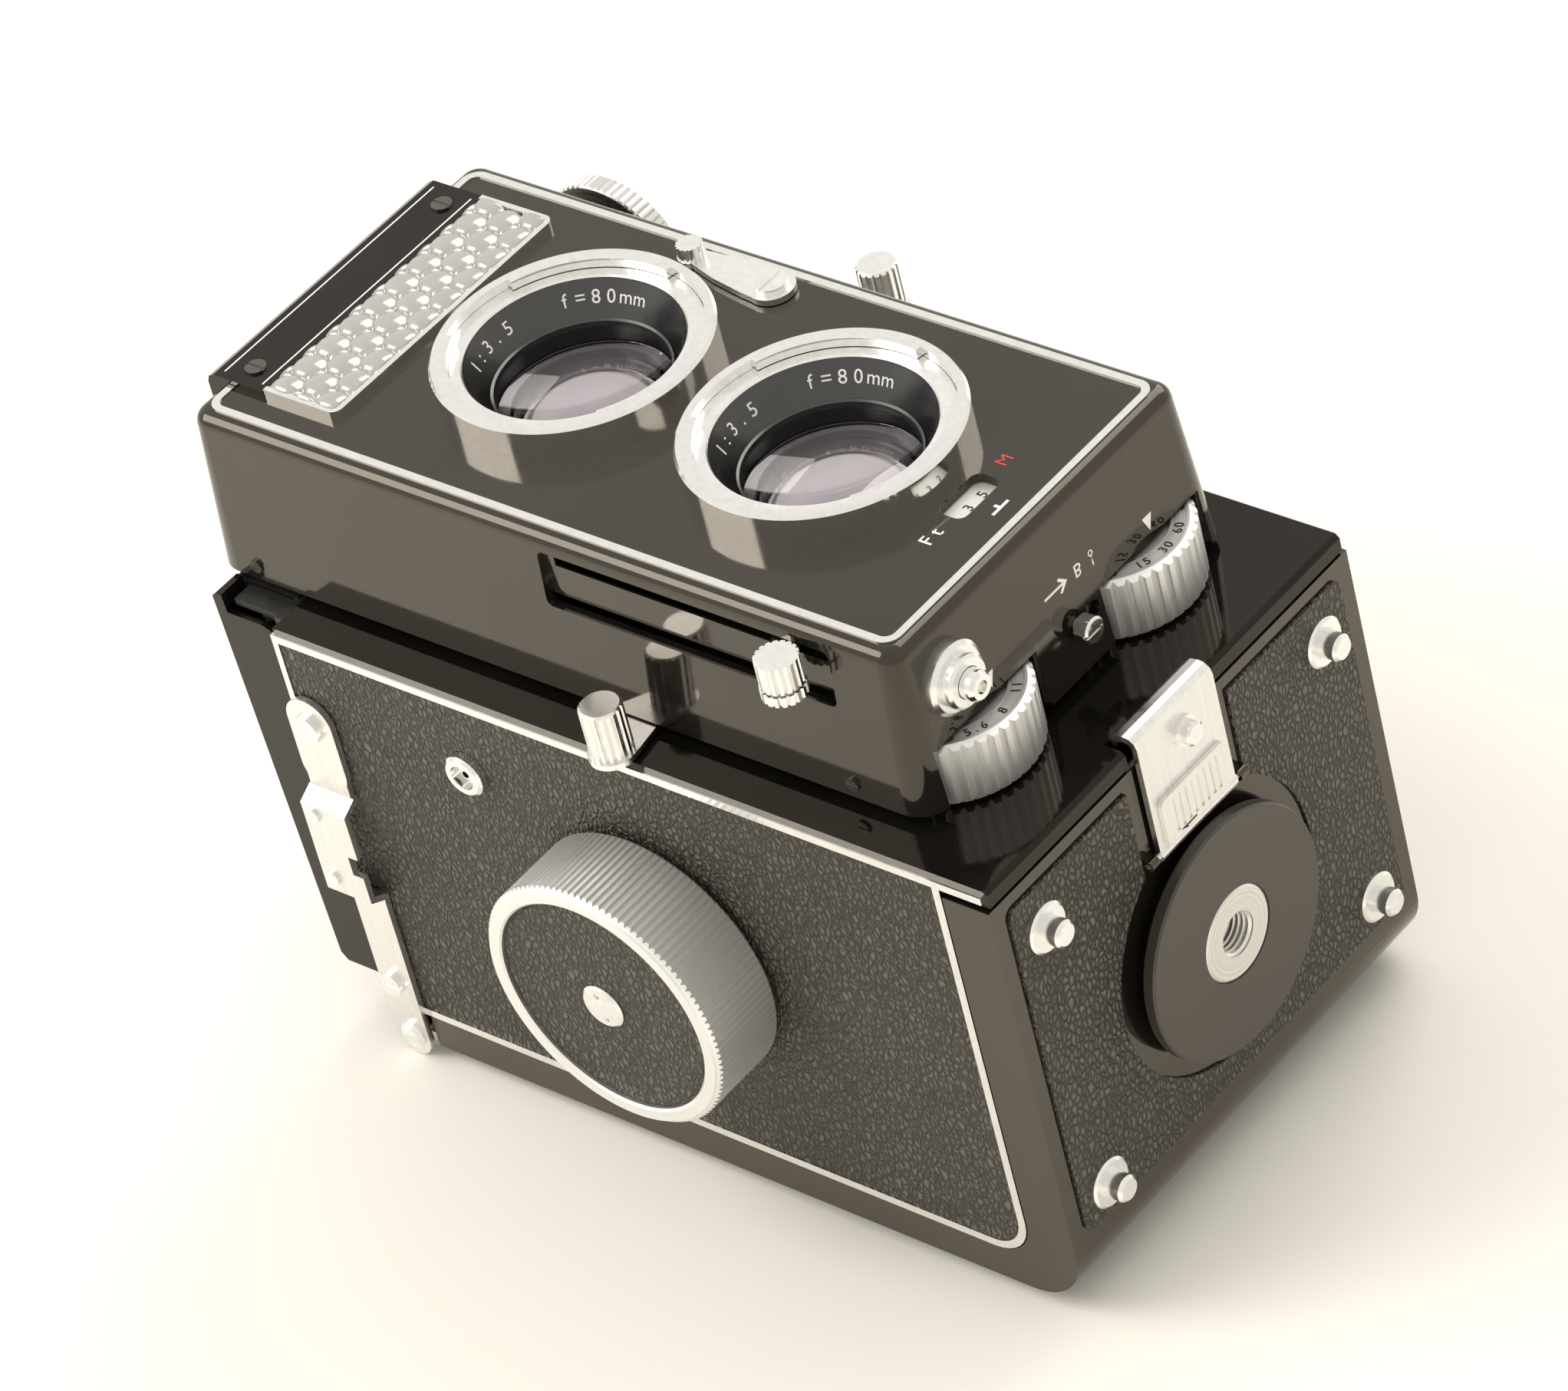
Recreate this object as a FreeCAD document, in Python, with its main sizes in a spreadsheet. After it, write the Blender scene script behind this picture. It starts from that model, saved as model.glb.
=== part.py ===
import FreeCAD, Part
import os, math
from FreeCAD import Vector as V

# Twin lens reflex camera for 120 roll film.  Millimetres, +Z up.
# Every piece is drawn in the workshop frame: x = 0 on the lens axes' plane,
# y = 0 on the front face of the body casting (the lenses look towards -Y),
# z = 0 on the underside of the hinged base.  Each piece's Placement then moves
# it so that the mouth of the tripod socket is the origin.

doc = FreeCAD.newDocument("camera")
ss = doc.addObject("Spreadsheet::Sheet", "dims")
D = {}


def dim(alias, value):
    n = len(D) + 1
    ss.set("A%d" % n, alias)
    ss.set("B%d" % n, repr(float(value)))
    ss.setAlias("B%d" % n, alias)
    D[alias] = float(value)


for a, v in (
    # body casting
    ("half_w", 37.6), ("skin_w", 38.24), ("body_back", 66.1), ("body_top", 120.6),
    ("body_low", 8.75), ("wall", 2.4), ("front_wall", 2.6), ("strip_w", 1.75), ("strip_y", 0.62), ("trim_w", 1.2),
    ("trim_lift", 38.3), ("leather_lift", 38.12), ("corner_r", 6.5),
    # lens axes
    ("taking_z", 48.29), ("viewing_z", 90.29), ("sleeve_r", 15.5), ("sleeve_in", 14.45),
    # lens panel
    ("panel_y", 26.2), ("panel_rear", 1.45), ("panel_hw", 31.6), ("panel_hh", 61.7),
    ("panel_mid", 74.45), ("panel_corner", 4.6), ("panel_draft", 4.4), ("panel_wall", 1.3),
    ("panel_edge", 2.0), ("ptrim_w", 27.3), ("ptrim_h", 57.6), ("ptrim_t", 1.1), ("ptrim_p", 0.22),
    # bayonets and barrels
    ("bay_r", 19.18), ("bay_h", 4.65), ("bay_in", 16.7), ("bay_notch", 17.6), ("barrel_hole", 14.5),
    ("glass_r", 12.15),
    # control wheels
    ("wheel_x", 17.3), ("wheel_z", 20.2), ("wheel_rad", 11.6), ("wheel_y0", 9.7), ("wheel_y1", 0.5),
    # focus see-saw
    ("seesaw_z", 70.8), ("seesaw_tilt", 15.2), ("arm_left", 39.1), ("arm_right", 52.3), ("fknob_r", 2.95),
    # winding
    ("knob_y", 32.48), ("knob_z", 60.93), ("knob_r", 19.32), ("knob_out", 51.36), ("knob_in", 39.0),
    ("shaft_r", 4.0), ("spool_y", 51.5), ("spool_z", 91.5), ("flange_r", 12.4), ("supply_y", 22.0), ("supply_z", 14.6),
    # back cover
    ("cover_back", 71.6), ("cover_front", 3.0), ("cover_r", 9.0), ("cover_wall", 1.3),
    ("hinge_y", 69.8), ("hinge_z", 115.9), ("pin_r", 1.2), ("knuckle_r", 2.6),
    ("disc_y", 36.5), ("disc_r", 17.49), ("disc_face", 3.5), ("socket_r", 3.175), ("bush_r", 6.7),
    ("foot_x", 29.83), ("foot_y1", 11.74), ("foot_y2", 55.79), ("foot_tip", 3.9),
    # hood
    ("hood_w", 35.8), ("hood_rear", 64.6), ("hood_hy", 0.7), ("hood_hz", 132.1),
):
    dim(a, v)
doc.recompute()

OFF = V(0, -D["disc_y"], D["disc_face"])
NODES = []


def S(v):
    return v if isinstance(v, str) else repr(float(v))


def num(*vs):
    return not any(isinstance(v, str) for v in vs)


def box(n, x0, x1, y0, y1, z0, z1):
    o = doc.addObject("Part::Box", n)
    for p, q, a, b in (("Length", "x", x0, x1), ("Width", "y", y0, y1), ("Height", "z", z0, z1)):
        if num(a, b):
            setattr(o, p, b - a)
        else:
            o.setExpression(p, "(%s) - (%s)" % (S(b), S(a)))
    base = [a if num(a) else 0.0 for a in (x0, y0, z0)]
    o.Placement = FreeCAD.Placement(V(*base), FreeCAD.Rotation())
    for q, a in (("x", x0), ("y", y0), ("z", z0)):
        if not num(a):
            o.setExpression("Placement.Base." + q, S(a))
    return o


ROT = {"X": FreeCAD.Rotation(V(0, 1, 0), 90), "Y": FreeCAD.Rotation(V(1, 0, 0), -90), "Z": FreeCAD.Rotation()}


def cyl(n, axis, a0, a1, c1, c2, r):
    """Cylinder along a row axis from a0 to a1; c1, c2 are the other two coordinates in X, Y, Z order."""
    o = doc.addObject("Part::Cylinder", n)
    if num(r):
        o.Radius = r
    else:
        o.setExpression("Radius", r)
    if num(a0, a1):
        o.Height = a1 - a0
    else:
        o.setExpression("Height", "(%s) - (%s)" % (S(a1), S(a0)))
    c = {"X": (a0, c1, c2), "Y": (c1, a0, c2), "Z": (c1, c2, a0)}[axis]
    o.Placement = FreeCAD.Placement(V(*[v if num(v) else 0.0 for v in c]), ROT[axis])
    for q, v in zip("xyz", c):
        if not num(v):
            o.setExpression("Placement.Base." + q, S(v))
    return o


def cut(n, base, *tools):
    if len(tools) > 1:
        t = fuse(n + "_tools", *tools)
    else:
        t = tools[0]
    o = doc.addObject("Part::Cut", n)
    o.Base = base
    o.Tool = t
    return o


def fuse(n, *shapes):
    o = doc.addObject("Part::MultiFuse", n)
    o.Shapes = list(shapes)
    return o


def common(n, *shapes):
    o = doc.addObject("Part::MultiCommon", n)
    o.Shapes = list(shapes)
    return o


def group(n, *shapes):
    o = doc.addObject("Part::Compound", n)
    o.Links = list(shapes)
    return o


PL = {"X": FreeCAD.Rotation(V(0, 0, 1), V(0, 1, 0), V(1, 0, 0), "ZXY"),
      "Z": FreeCAD.Rotation()}
# sketch x axis, sketch y axis -> row axes, and the normal
PL["X"] = FreeCAD.Rotation(V(0, 1, 0), V(0, 0, 1), V(1, 0, 0), "ZXY")
PL["Y"] = FreeCAD.Rotation(V(1, 0, 0), V(0, 0, 1), V(0, -1, 0), "ZXY")


def add_poly(sk, pts):
    """Closed run of straight lines, each end tied to the next."""
    n = len(pts)
    ids = []
    for i in range(n):
        p, q = pts[i], pts[(i + 1) % n]
        ids.append(sk.addGeometry(Part.LineSegment(V(p[0], p[1], 0), V(q[0], q[1], 0)), False))
    return ids


def rounded(x0, x1, y0, y1, r):
    """Rounded rectangle as lines and arcs."""
    g = []
    c = [(x1 - r, y1 - r, 0), (x0 + r, y1 - r, 90), (x0 + r, y0 + r, 180), (x1 - r, y0 + r, 270)]
    ends = []
    for cx, cy, a in c:
        a0, a1 = math.radians(a), math.radians(a + 90)
        g.append(Part.ArcOfCircle(Part.Circle(V(cx, cy, 0), V(0, 0, 1), r), a0, a1))
        ends.append((V(cx + r * math.cos(a0), cy + r * math.sin(a0), 0), V(cx + r * math.cos(a1), cy + r * math.sin(a1), 0)))
    for i in range(4):
        g.append(Part.LineSegment(ends[i][1], ends[(i + 1) % 4][0]))
    return g


def prism(n, axis, geo, a0, a1):
    """Sketch on the plane across a row axis, extruded from a0 to a1 along it.

    Sketch coordinates are the other two row axes in X, Y, Z order."""
    sk = doc.addObject("Sketcher::SketchObject", n + "_sk")
    if geo and isinstance(geo[0], (tuple, list)):
        add_poly(sk, geo)
    else:
        for g in geo:
            sk.addGeometry(g, False)
    at = {"X": V(a0, 0, 0), "Y": V(0, a0, 0), "Z": V(0, 0, a0)}[axis]
    sk.Placement = FreeCAD.Placement(at, PL[axis])
    e = doc.addObject("Part::Extrusion", n)
    e.Base = sk
    e.DirMode = "Custom"
    e.Dir = {"X": V(1, 0, 0), "Y": V(0, 1, 0), "Z": V(0, 0, 1)}[axis]
    e.LengthFwd = a1 - a0
    e.Solid = True
    return e


def plane(b, role):
    return [f for f in b.Origin.OriginFeatures if f.Role == role][0]


def bsketch(b, n, role, off=0.0):
    s = b.newObject("Sketcher::SketchObject", n)
    s.AttachmentSupport = [(plane(b, role), "")]
    s.MapMode = "FlatFace"
    s.AttachmentOffset = FreeCAD.Placement(V(0, 0, off), FreeCAD.Rotation())
    return s


def turned(n, axis, pts, at=(0, 0, 0)):
    """Turned piece: closed profile of (radius, distance along the axis), revolved 360 degrees."""
    b = doc.addObject("PartDesign::Body", n)
    if axis == "X":
        s = bsketch(b, n + "_sk", "XY_Plane")
        add_poly(s, [(a, r) for r, a in pts])
        ref = "H_Axis"
    elif axis == "Y":
        s = bsketch(b, n + "_sk", "XY_Plane")
        add_poly(s, [(r, a) for r, a in pts])
        ref = "V_Axis"
    else:
        s = bsketch(b, n + "_sk", "XZ_Plane")
        add_poly(s, [(r, a) for r, a in pts])
        ref = "V_Axis"
    f = b.newObject("PartDesign::Revolution", n + "_rev")
    f.Profile = s
    f.ReferenceAxis = (s, [ref])
    f.Angle = 360.0
    b.Placement = FreeCAD.Placement(V(*at), FreeCAD.Rotation())
    return b


def star(r, depth, teeth, flat=0.35, phase=0.0):
    """Straight knurl: flat lands with V grooves between them."""
    pts = []
    step = 2 * math.pi / teeth
    for i in range(teeth):
        a = phase + i * step
        for f, rr in ((-flat / 2, r), (flat / 2, r), (0.5, r - depth)):
            t = a + f * step
            pts.append((rr * math.cos(t), rr * math.sin(t)))
    return pts


def moved(pts, cx, cy):
    return [(x + cx, y + cy) for x, y in pts]


def gear(teeth, m, cx, cy, phase):
    """Slim straight-sided teeth of module m on a pitch radius of teeth*m/2."""
    rp = teeth * m / 2.0
    pts = []
    step = 2 * math.pi / teeth
    for i in range(teeth):
        a = phase + i * step
        for w, rr in ((-0.98, rp - 1.15 * m), (-0.66, rp), (-0.28, rp + 0.85 * m), (0.28, rp + 0.85 * m), (0.66, rp), (0.98, rp - 1.15 * m)):
            t = a + w * m / rr
            pts.append((cx + rr * math.cos(t), cy + rr * math.sin(t)))
    return pts


def ring_slot(cy, cz, half, r):
    """Stadium outline along the first sketch axis."""
    g = []
    g.append(Part.ArcOfCircle(Part.Circle(V(cy + half, cz, 0), V(0, 0, 1), r), -math.pi / 2, math.pi / 2))
    g.append(Part.ArcOfCircle(Part.Circle(V(cy - half, cz, 0), V(0, 0, 1), r), math.pi / 2, 3 * math.pi / 2))
    g.append(Part.LineSegment(V(cy + half, cz + r, 0), V(cy - half, cz + r, 0)))
    g.append(Part.LineSegment(V(cy - half, cz - r, 0), V(cy + half, cz - r, 0)))
    return g


def node(o, label):
    """A finished sub-part: its Label is the node's name, its Placement puts the socket mouth at the origin."""
    o.Label = label
    b = o.Placement.Base
    o.Placement = FreeCAD.Placement(V(b.x + OFF.x, b.y + OFF.y, b.z + OFF.z), o.Placement.Rotation)
    NODES.append(o)
    return o


def side_profile(y0, y1, z0, z1, r, n=8):
    """Side view outline in y, z: square at the front and top, rounded at the lower rear corner."""
    pts = [(y0, z1), (y0, z0)]
    for k in range(n + 1):
        a = -math.pi / 2 + (math.pi / 2) * k / n
        pts.append((y1 - r + r * math.cos(a), z0 + r + r * math.sin(a)))
    pts.append((y1, z1))
    return pts


HW, BB, BT, BL = D["half_w"], D["body_back"], D["body_top"], D["body_low"]

# ---------------------------------------------------------------- body casting
bc_outer = prism("bc_outer", "X", side_profile(0.0, BB, BL - 1.25, BT, D["corner_r"]), -HW, HW)
bc_skirt = prism("bc_skirt", "X", [(0.0, BL), (0.0, 0.75), (0.6, 0.12), (2.6, 0.12), (2.6, BL)], -HW, HW)
bc_room = box("bc_room", "-(dims.half_w - dims.wall)", "dims.half_w - dims.wall", "dims.front_wall", 80.0, -5.0, "dims.body_top - 2.0")
bc_view = box("bc_view", -29.5, 29.5, 5.0, 59.0, 110.0, 130.0)
bc_seat = box("bc_seat", -31.0, 31.0, 3.8, 60.4, 110.0, "dims.body_top - 1.2")
bc_h1 = cyl("bc_h1", "Y", -1.0, 5.0, 0.0, "dims.taking_z", "dims.sleeve_r + 0.35")
bc_h2 = cyl("bc_h2", "Y", -1.0, 5.0, 0.0, "dims.viewing_z", "dims.sleeve_r + 0.35")
bc_shaft = cyl("bc_shaft", "X", -45.0, -20.0, "dims.knob_y", "dims.knob_z", "dims.shaft_r + 0.05")
bc_p1 = cyl("bc_p1", "X", 20.0, 45.0, "dims.supply_y", "dims.supply_z", 3.05)
bc_p2 = cyl("bc_p2", "X", 20.0, 45.0, "dims.spool_y", "dims.spool_z", 3.05)
bc_p3 = cyl("bc_p3", "X", -36.4, -20.0, "dims.spool_y", "dims.spool_z", 3.05)
bc_piv = cyl("bc_piv", "Y", -1.0, 5.0, 0.0, "dims.seesaw_z", 1.6)
screw_yz = [(15.0, 117.5), (60.8, 117.0)]
rivet_yz = [(29.2, 119.3), (40.5, 119.3)]
bc_notch = box("bc_notch", -8.8, 8.8, -1.0, 3.2, -1.0, 3.4)
bc_sc = []
for i, (yy, zz) in enumerate(screw_yz):
    bc_sc.append(cyl("bc_sc%d" % i, "X", -45.0, 45.0, yy, zz, 0.8))
bc_hollow = cut("bc_hollow", fuse("bc_solid", bc_outer, bc_skirt), bc_room, bc_view, bc_seat, bc_h1, bc_h2, bc_shaft, bc_p1, bc_p2, bc_p3, bc_piv, bc_notch, *bc_sc)
lug1 = cyl("lug1", "X", -36.0, -29.2, "dims.hinge_y", "dims.hinge_z", "dims.knuckle_r")
lug1b = box("lug1b", -36.0, -29.2, 65.0, "dims.hinge_y", "dims.hinge_z - dims.knuckle_r", "dims.hinge_z + dims.knuckle_r")
lug2 = cyl("lug2", "X", 29.2, 36.0, "dims.hinge_y", "dims.hinge_z", "dims.knuckle_r")
lug2b = box("lug2b", 29.2, 36.0, 65.0, "dims.hinge_y", "dims.hinge_z - dims.knuckle_r", "dims.hinge_z + dims.knuckle_r")
rear_bar = box("rear_bar", "-dims.half_w", "dims.half_w", 61.0, "dims.body_back", 104.0, "dims.body_top")
sup_pin = cyl("sup_pin", "X", "-(dims.half_w - 1)", -30.2, "dims.supply_y", "dims.supply_z", 2.4)
lugbore = cyl("lugbore", "X", -40.0, 40.0, "dims.hinge_y", "dims.hinge_z", "dims.pin_r")
node(cut("body_casting", fuse("bc_all", bc_hollow, lug1, lug1b, lug2, lug2b, rear_bar, sup_pin), lugbore, bc_sc[0], bc_sc[1]), "body_casting")


# bright frame round each side: wide strip at the front edge, narrow line elsewhere
def trim(n, x0, x1):
    o = prism(n + "_o", "X", side_profile(D["strip_y"], BB, BL - 1.2, BT - 0.04, D["corner_r"]), x0, x1)
    leg = box(n + "_leg", x0, x1, "dims.strip_y", "dims.strip_w", 0.8, 20.0)
    i = prism(n + "_i", "X", side_profile(D["strip_w"], BB - D["trim_w"], BL, BT - 1.05, D["corner_r"] - D["trim_w"]), x0 - 1, x1 + 1)
    return fuse(n + "_f", cut(n, o, i), leg)


node(group("side_trims", trim("trim_l", -D["trim_lift"], -HW), trim("trim_r", HW, D["trim_lift"])), "side_trims")


def leather(n, x0, x1, holes):
    o = prism(n + "_o", "X", side_profile(D["strip_w"] + 0.04, BB - D["trim_w"] - 0.04, BL + 0.04, BT - 1.09, D["corner_r"] - D["trim_w"] - 0.04), x0, x1)
    t = [cyl("%s_h%d" % (n, i), "X", x0 - 1, x1 + 1, a, b, r) for i, (a, b, r) in enumerate(holes)]
    return cut(n, o, *t)


node(group("side_leathers",
           leather("leather_l", -D["leather_lift"], -HW, [(D["knob_y"], D["knob_z"], 6.0), (12.9, 89.1, 3.25)] + [(a, b, 0.85) for a, b in screw_yz]),
           leather("leather_r", HW, D["leather_lift"], [(D["supply_y"], D["supply_z"], 3.6), (D["spool_y"], D["spool_z"], 3.6)] + [(a, b, 0.85) for a, b in screw_yz])), "side_leathers")

# dark chamber: tapering light tunnel with the 56 x 56 mm film gate at its rear
dc_y0, dc_y1 = 2.7, 60.2


def frustum(n, h0, h1, y0, y1):
    s = []
    for k, (h, y) in enumerate(((h0, y0), (h1, y1))):
        sk = doc.addObject("Sketcher::SketchObject", "%s_s%d" % (n, k))
        add_poly(sk, [(-h, D["taking_z"] - h), (h, D["taking_z"] - h), (h, D["taking_z"] + h), (-h, D["taking_z"] + h)])
        sk.Placement = FreeCAD.Placement(V(0, y, 0), PL["Y"])
        s.append(sk)
    o = doc.addObject("Part::Loft", n)
    o.Sections = s
    o.Solid = True
    o.Ruled = True
    return o


dc_out = frustum("dc_out", 18.2, 29.2, dc_y0, dc_y1)
dc_in = frustum("dc_in", 17.0, 28.0, dc_y0 - 0.01, dc_y1 + 0.01)
gate = box("gate", -34.9, 34.9, 60.2, 61.5, 16.0, 78.5)
gate_hole = box("gate_hole", -28.0, 28.0, 55.0, 65.0, "dims.taking_z - 28", "dims.taking_z + 28")
rail1 = box("rail1", 30.6, 31.6, 61.5, 61.8, 17.0, 77.8)
rail2 = box("rail2", -31.6, -30.6, 61.5, 61.8, 17.0, 77.8)
node(fuse("dark_chamber", cut("dc_shell", dc_out, dc_in), cut("gate_plate", gate, gate_hole), rail1, rail2), "dark_chamber")

# mirror at 45 degrees behind the viewing lens
mir = prism("reflex_mirror", "X", [(15.0, 72.99), (44.5, 102.49), (43.44, 103.55), (13.94, 74.05)], -27.5, 27.5)
node(mir, "reflex_mirror")
node(group("fs_g", box("fs_b", -30.8, 30.8, 4.0, 60.2, "dims.body_top - 2.9", "dims.body_top - 1.25")), "focusing_screen")

# hood base: low frame on top of the body
hb_o = box("hb_o", -35.2, 35.2, 0.6, 64.0, "dims.body_top", 122.6)
hb_i = box("hb_i", -30.0, 30.0, 4.5, 59.5, 115.0, 125.0)
hb_p = []
for i, sx in enumerate((-1, 1)):
    x0, x1 = sorted((sx * 28.0, sx * 31.0))
    hb_p.append(box("hb_l%d" % i, x0, x1, 0.3, 1.3, 122.0, "dims.hood_hz"))
    hb_p.append(cyl("hb_e%d" % i, "X", x0, x1, "dims.hood_hy", "dims.hood_hz", 0.95))
    x0, x1 = sorted((sx * 25.0, sx * 29.0))
    hb_p.append(cyl("hb_n%d" % i, "X", x0, x1, "dims.hood_hy", "dims.hood_hz", 0.5))
    x0, x1 = sorted((sx * 33.4, sx * 34.4))
    hb_p.append(box("hb_a%d" % i, x0, x1, 1.0, 2.4, 122.0, 125.9))
    w0, w1 = sorted((sx * 31.3, sx * 34.6))
    hb_p.append(box("hb_w%d" % i, w0, w1, 0.6, 1.6, 122.0, 130.4))
    hb_p.append(box("hb_b%d" % i, x0, x1, 61.9, 62.9, 122.0, 125.9))
    hb_p.append(cyl("hb_c%d" % i, "Y", 2.0, 3.6, sx * 33.9, 125.4, 0.3))
    hb_p.append(cyl("hb_d%d" % i, "Y", 60.4, 62.4, sx * 33.9, 125.4, 0.3))
    x0, x1 = sorted((sx * 32.0, sx * 33.0))
    hb_p.append(box("hb_f%d" % i, x0, x1, 61.9, 62.9, 122.0, 124.5))
    x0, x1 = sorted((sx * 30.4, sx * 32.5))
    hb_p.append(cyl("hb_g%d" % i, "X", x0, x1, 62.4, 124.0, 0.3))
node(cut("hood_base", fuse("hb_f", hb_o, *hb_p), hb_i), "hood_base")


# strap bracket: flat strip, bridge for the strap clip, flat strip again
def bracket(n, s):
    prof = [(38.3, 9.0), (39.2, 9.0), (39.2, 26.2), (41.6, 27.6), (41.6, 43.0), (39.2, 44.2), (39.2, 74.4), (38.3, 74.4), (38.3, 43.6), (40.7, 42.4), (40.7, 28.2), (38.3, 26.8)]
    body = prism(n + "_p", "Z", [(s * x, y) for x, y in prof], 113.2, 121.2)
    a = prism(n + "_a", "X", ring_slot(18.2, 117.2, 4.0, 4.0), min(s * 38.0, s * 42.5), max(s * 38.0, s * 42.5))
    b = box(n + "_b", min(s * 38.0, s * 42.5), max(s * 38.0, s * 42.5), 17.5, 26.4, 113.6, 120.8)
    c = box(n + "_c", min(s * 38.0, s * 42.5), max(s * 38.0, s * 42.5), 26.0, 44.4, 113.2, 121.2)
    d = prism(n + "_d", "X", ring_slot(57.0, 116.4, 13.6, 3.1), min(s * 38.0, s * 42.5), max(s * 38.0, s * 42.5))
    e = common(n + "_e", body, fuse(n + "_m", a, b, c, d))
    t = [cyl("%s_h%d" % (n, i), "X", min(s * 30, s * 45), max(s * 30, s * 45), yy, zz, 0.8) for i, (yy, zz) in enumerate(screw_yz + rivet_yz)]
    t.append(box(n + "_n", min(s * 38.0, s * 42.5), max(s * 38.0, s * 42.5), 35.2, 38.4, 112.0, 115.0))
    t.append(cyl(n + "_hp", "X", min(s * 30, s * 45), max(s * 30, s * 45), "dims.hinge_y", "dims.hinge_z", "dims.pin_r"))
    return cut(n, e, *t)


node(group("strap_brackets", bracket("bracket_l", -1), bracket("bracket_r", 1)), "strap_brackets")


def screw(n, s, y, z, x_seat, r, head, depth, slot_w):
    """Slotted screw along X; the head stands on x_seat, the shank goes into the casting."""
    h = cyl(n + "_hd", "X", min(s * x_seat, s * (x_seat + head)), max(s * x_seat, s * (x_seat + head)), y, z, r)
    sh = cyl(n + "_sh", "X", min(s * (x_seat - depth), s * x_seat), max(s * (x_seat - depth), s * x_seat), y, z, 0.8)
    f = fuse(n + "_f", h, sh)
    if slot_w:
        k = box(n + "_k", min(s * (x_seat + head * 0.45), s * (x_seat + 3)), max(s * (x_seat + head * 0.45), s * (x_seat + 3)), y - slot_w / 2, y + slot_w / 2, z - 5, z + 5)
        return cut(n, f, k)
    return f


scr = []
for s, tag in ((-1, "l"), (1, "r")):
    for i, (yy, zz) in enumerate(screw_yz):
        scr.append(screw("bs_%s%d" % (tag, i), s, yy, zz, 39.2, (2.3, 1.9)[i], (0.9, 0.8)[i], 3.0, (0.5, 0.45)[i]))
    for i, (yy, zz) in enumerate(rivet_yz):
        scr.append(screw("br_%s%d" % (tag, i), s, yy, zz, 41.6, 1.2, 0.45, 0.9, 0))
node(group("bracket_screws", *scr), "bracket_screws")

# flash socket on the winding side
node(turned("sync_socket", "X", [(1.9, -39.7), (2.75, -39.7), (3.2, -39.3), (3.2, -37.65), (0.55, -37.65), (0.55, -38.9), (0.85, -38.9), (0.85, -38.05), (1.9, -38.05)], (0, 12.9, 89.1)), "sync_socket")

# pin of the back cover's hinge, with a domed head outside each bracket
node(turned("hinge_pin", "X", [(0, -40.6), (0.9, -40.6), (1.7, -40.2), (2.1, -39.6), (2.1, -39.2), (D["pin_r"], -39.2), (D["pin_r"], 39.2), (2.1, 39.2), (2.1, 39.6), (1.7, 40.2), (0.9, 40.6), (0, 40.6)], (0, D["hinge_y"], D["hinge_z"])), "hinge_pin")

# pivot of the focusing see-saw
node(turned("focus_pivot", "Y", [(0, -2.1), (3.1, -2.1), (3.1, -1.25), (2.0, -1.25), (2.0, -0.02), (1.6, -0.02), (1.6, 2.6), (0, 2.6)], (0, 0, D["seesaw_z"])), "focus_pivot")

# ---------------------------------------------------------------- lens standard
PY, PR, MID = D["panel_y"], D["panel_rear"], D["panel_mid"]
TAN = math.tan(math.radians(D["panel_draft"]))
pb = doc.addObject("PartDesign::Body", "panel_blank")
s = bsketch(pb, "panel_out_sk", "XZ_Plane", PR)
for g in rounded(-D["panel_hw"], D["panel_hw"], MID - D["panel_hh"], MID + D["panel_hh"], D["panel_corner"]):
    s.addGeometry(g, False)
pad = pb.newObject("PartDesign::Pad", "panel_pad")
pad.Profile = s
pad.setExpression("Length", "dims.panel_y - dims.panel_rear")
pad.setExpression("TaperAngle", "-dims.panel_draft")
doc.recompute()
ymin = pb.Shape.BoundBox.YMin
edges = []
for i, e in enumerate(pad.Shape.Edges):
    if e.BoundBox.YMax < ymin + 0.01:
        edges.append("Edge%d" % (i + 1))
fil = pb.newObject("PartDesign::Fillet", "panel_fillet")
fil.Base = (pad, edges)
fil.setExpression("Radius", "dims.panel_edge")
doc.recompute()
print("panel blank", pb.Shape.isValid(), pb.Shape.BoundBox)

pc = doc.addObject("PartDesign::Body", "panel_core")
s = bsketch(pc, "panel_in_sk", "XZ_Plane", PR - 1.0)
k = D["panel_wall"]
for g in rounded(-D["panel_hw"] + k - TAN, D["panel_hw"] - k + TAN, MID - D["panel_hh"] + k - TAN, MID + D["panel_hh"] - k + TAN, D["panel_corner"] - k):
    s.addGeometry(g, False)
padi = pc.newObject("PartDesign::Pad", "panel_core_pad")
padi.Profile = s
padi.setExpression("Length", "dims.panel_y - dims.panel_rear + 1.0 - dims.panel_wall")
padi.setExpression("TaperAngle", "-dims.panel_draft")
doc.recompute()
print("panel core", pc.Shape.isValid(), pc.Shape.BoundBox)

pt = []
for tag, z in (("t", "dims.taking_z"), ("v", "dims.viewing_z")):
    pt.append(cyl("pn_h" + tag, "Y", -30.0, -20.0, 0.0, z, "dims.barrel_hole"))
for tag, sx in (("a", -1), ("b", 1)):
    x0, x1 = sorted((sx * 6.7, sx * 27.9))
    pt.append(box("pn_w" + tag, x0, x1, -10.2, 0.0, 5.0, 16.6))
# slit for the cocking lever and the shallow recess round it
pt.append(box("pn_slit", -40.0, -26.0, -23.0, -21.3, 26.2, 71.4))
pt.append(prism("pn_recess", "X", rounded(-23.6, -15.2, 25.4, 73.4, 1.0), -40.0, -29.15))
# distance window
pt.append(prism("pn_win", "Y", rounded(-4.3, 4.3, 23.2, 27.6, 1.3), -30.0, -20.0))
# release, lock pin and lever holes
pt.append(cyl("pn_rel", "Z", 5.0, 20.0, -21.6, -17.7, 2.35))
pt.append(prism("pn_lock", "Z", ring_slot(3.0, -8.4, 1.75, 1.15), 5.0, 20.0))
pt.append(cyl("pn_sync", "Y", -30.0, -20.0, 23.2, 76.0, 1.0))
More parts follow.
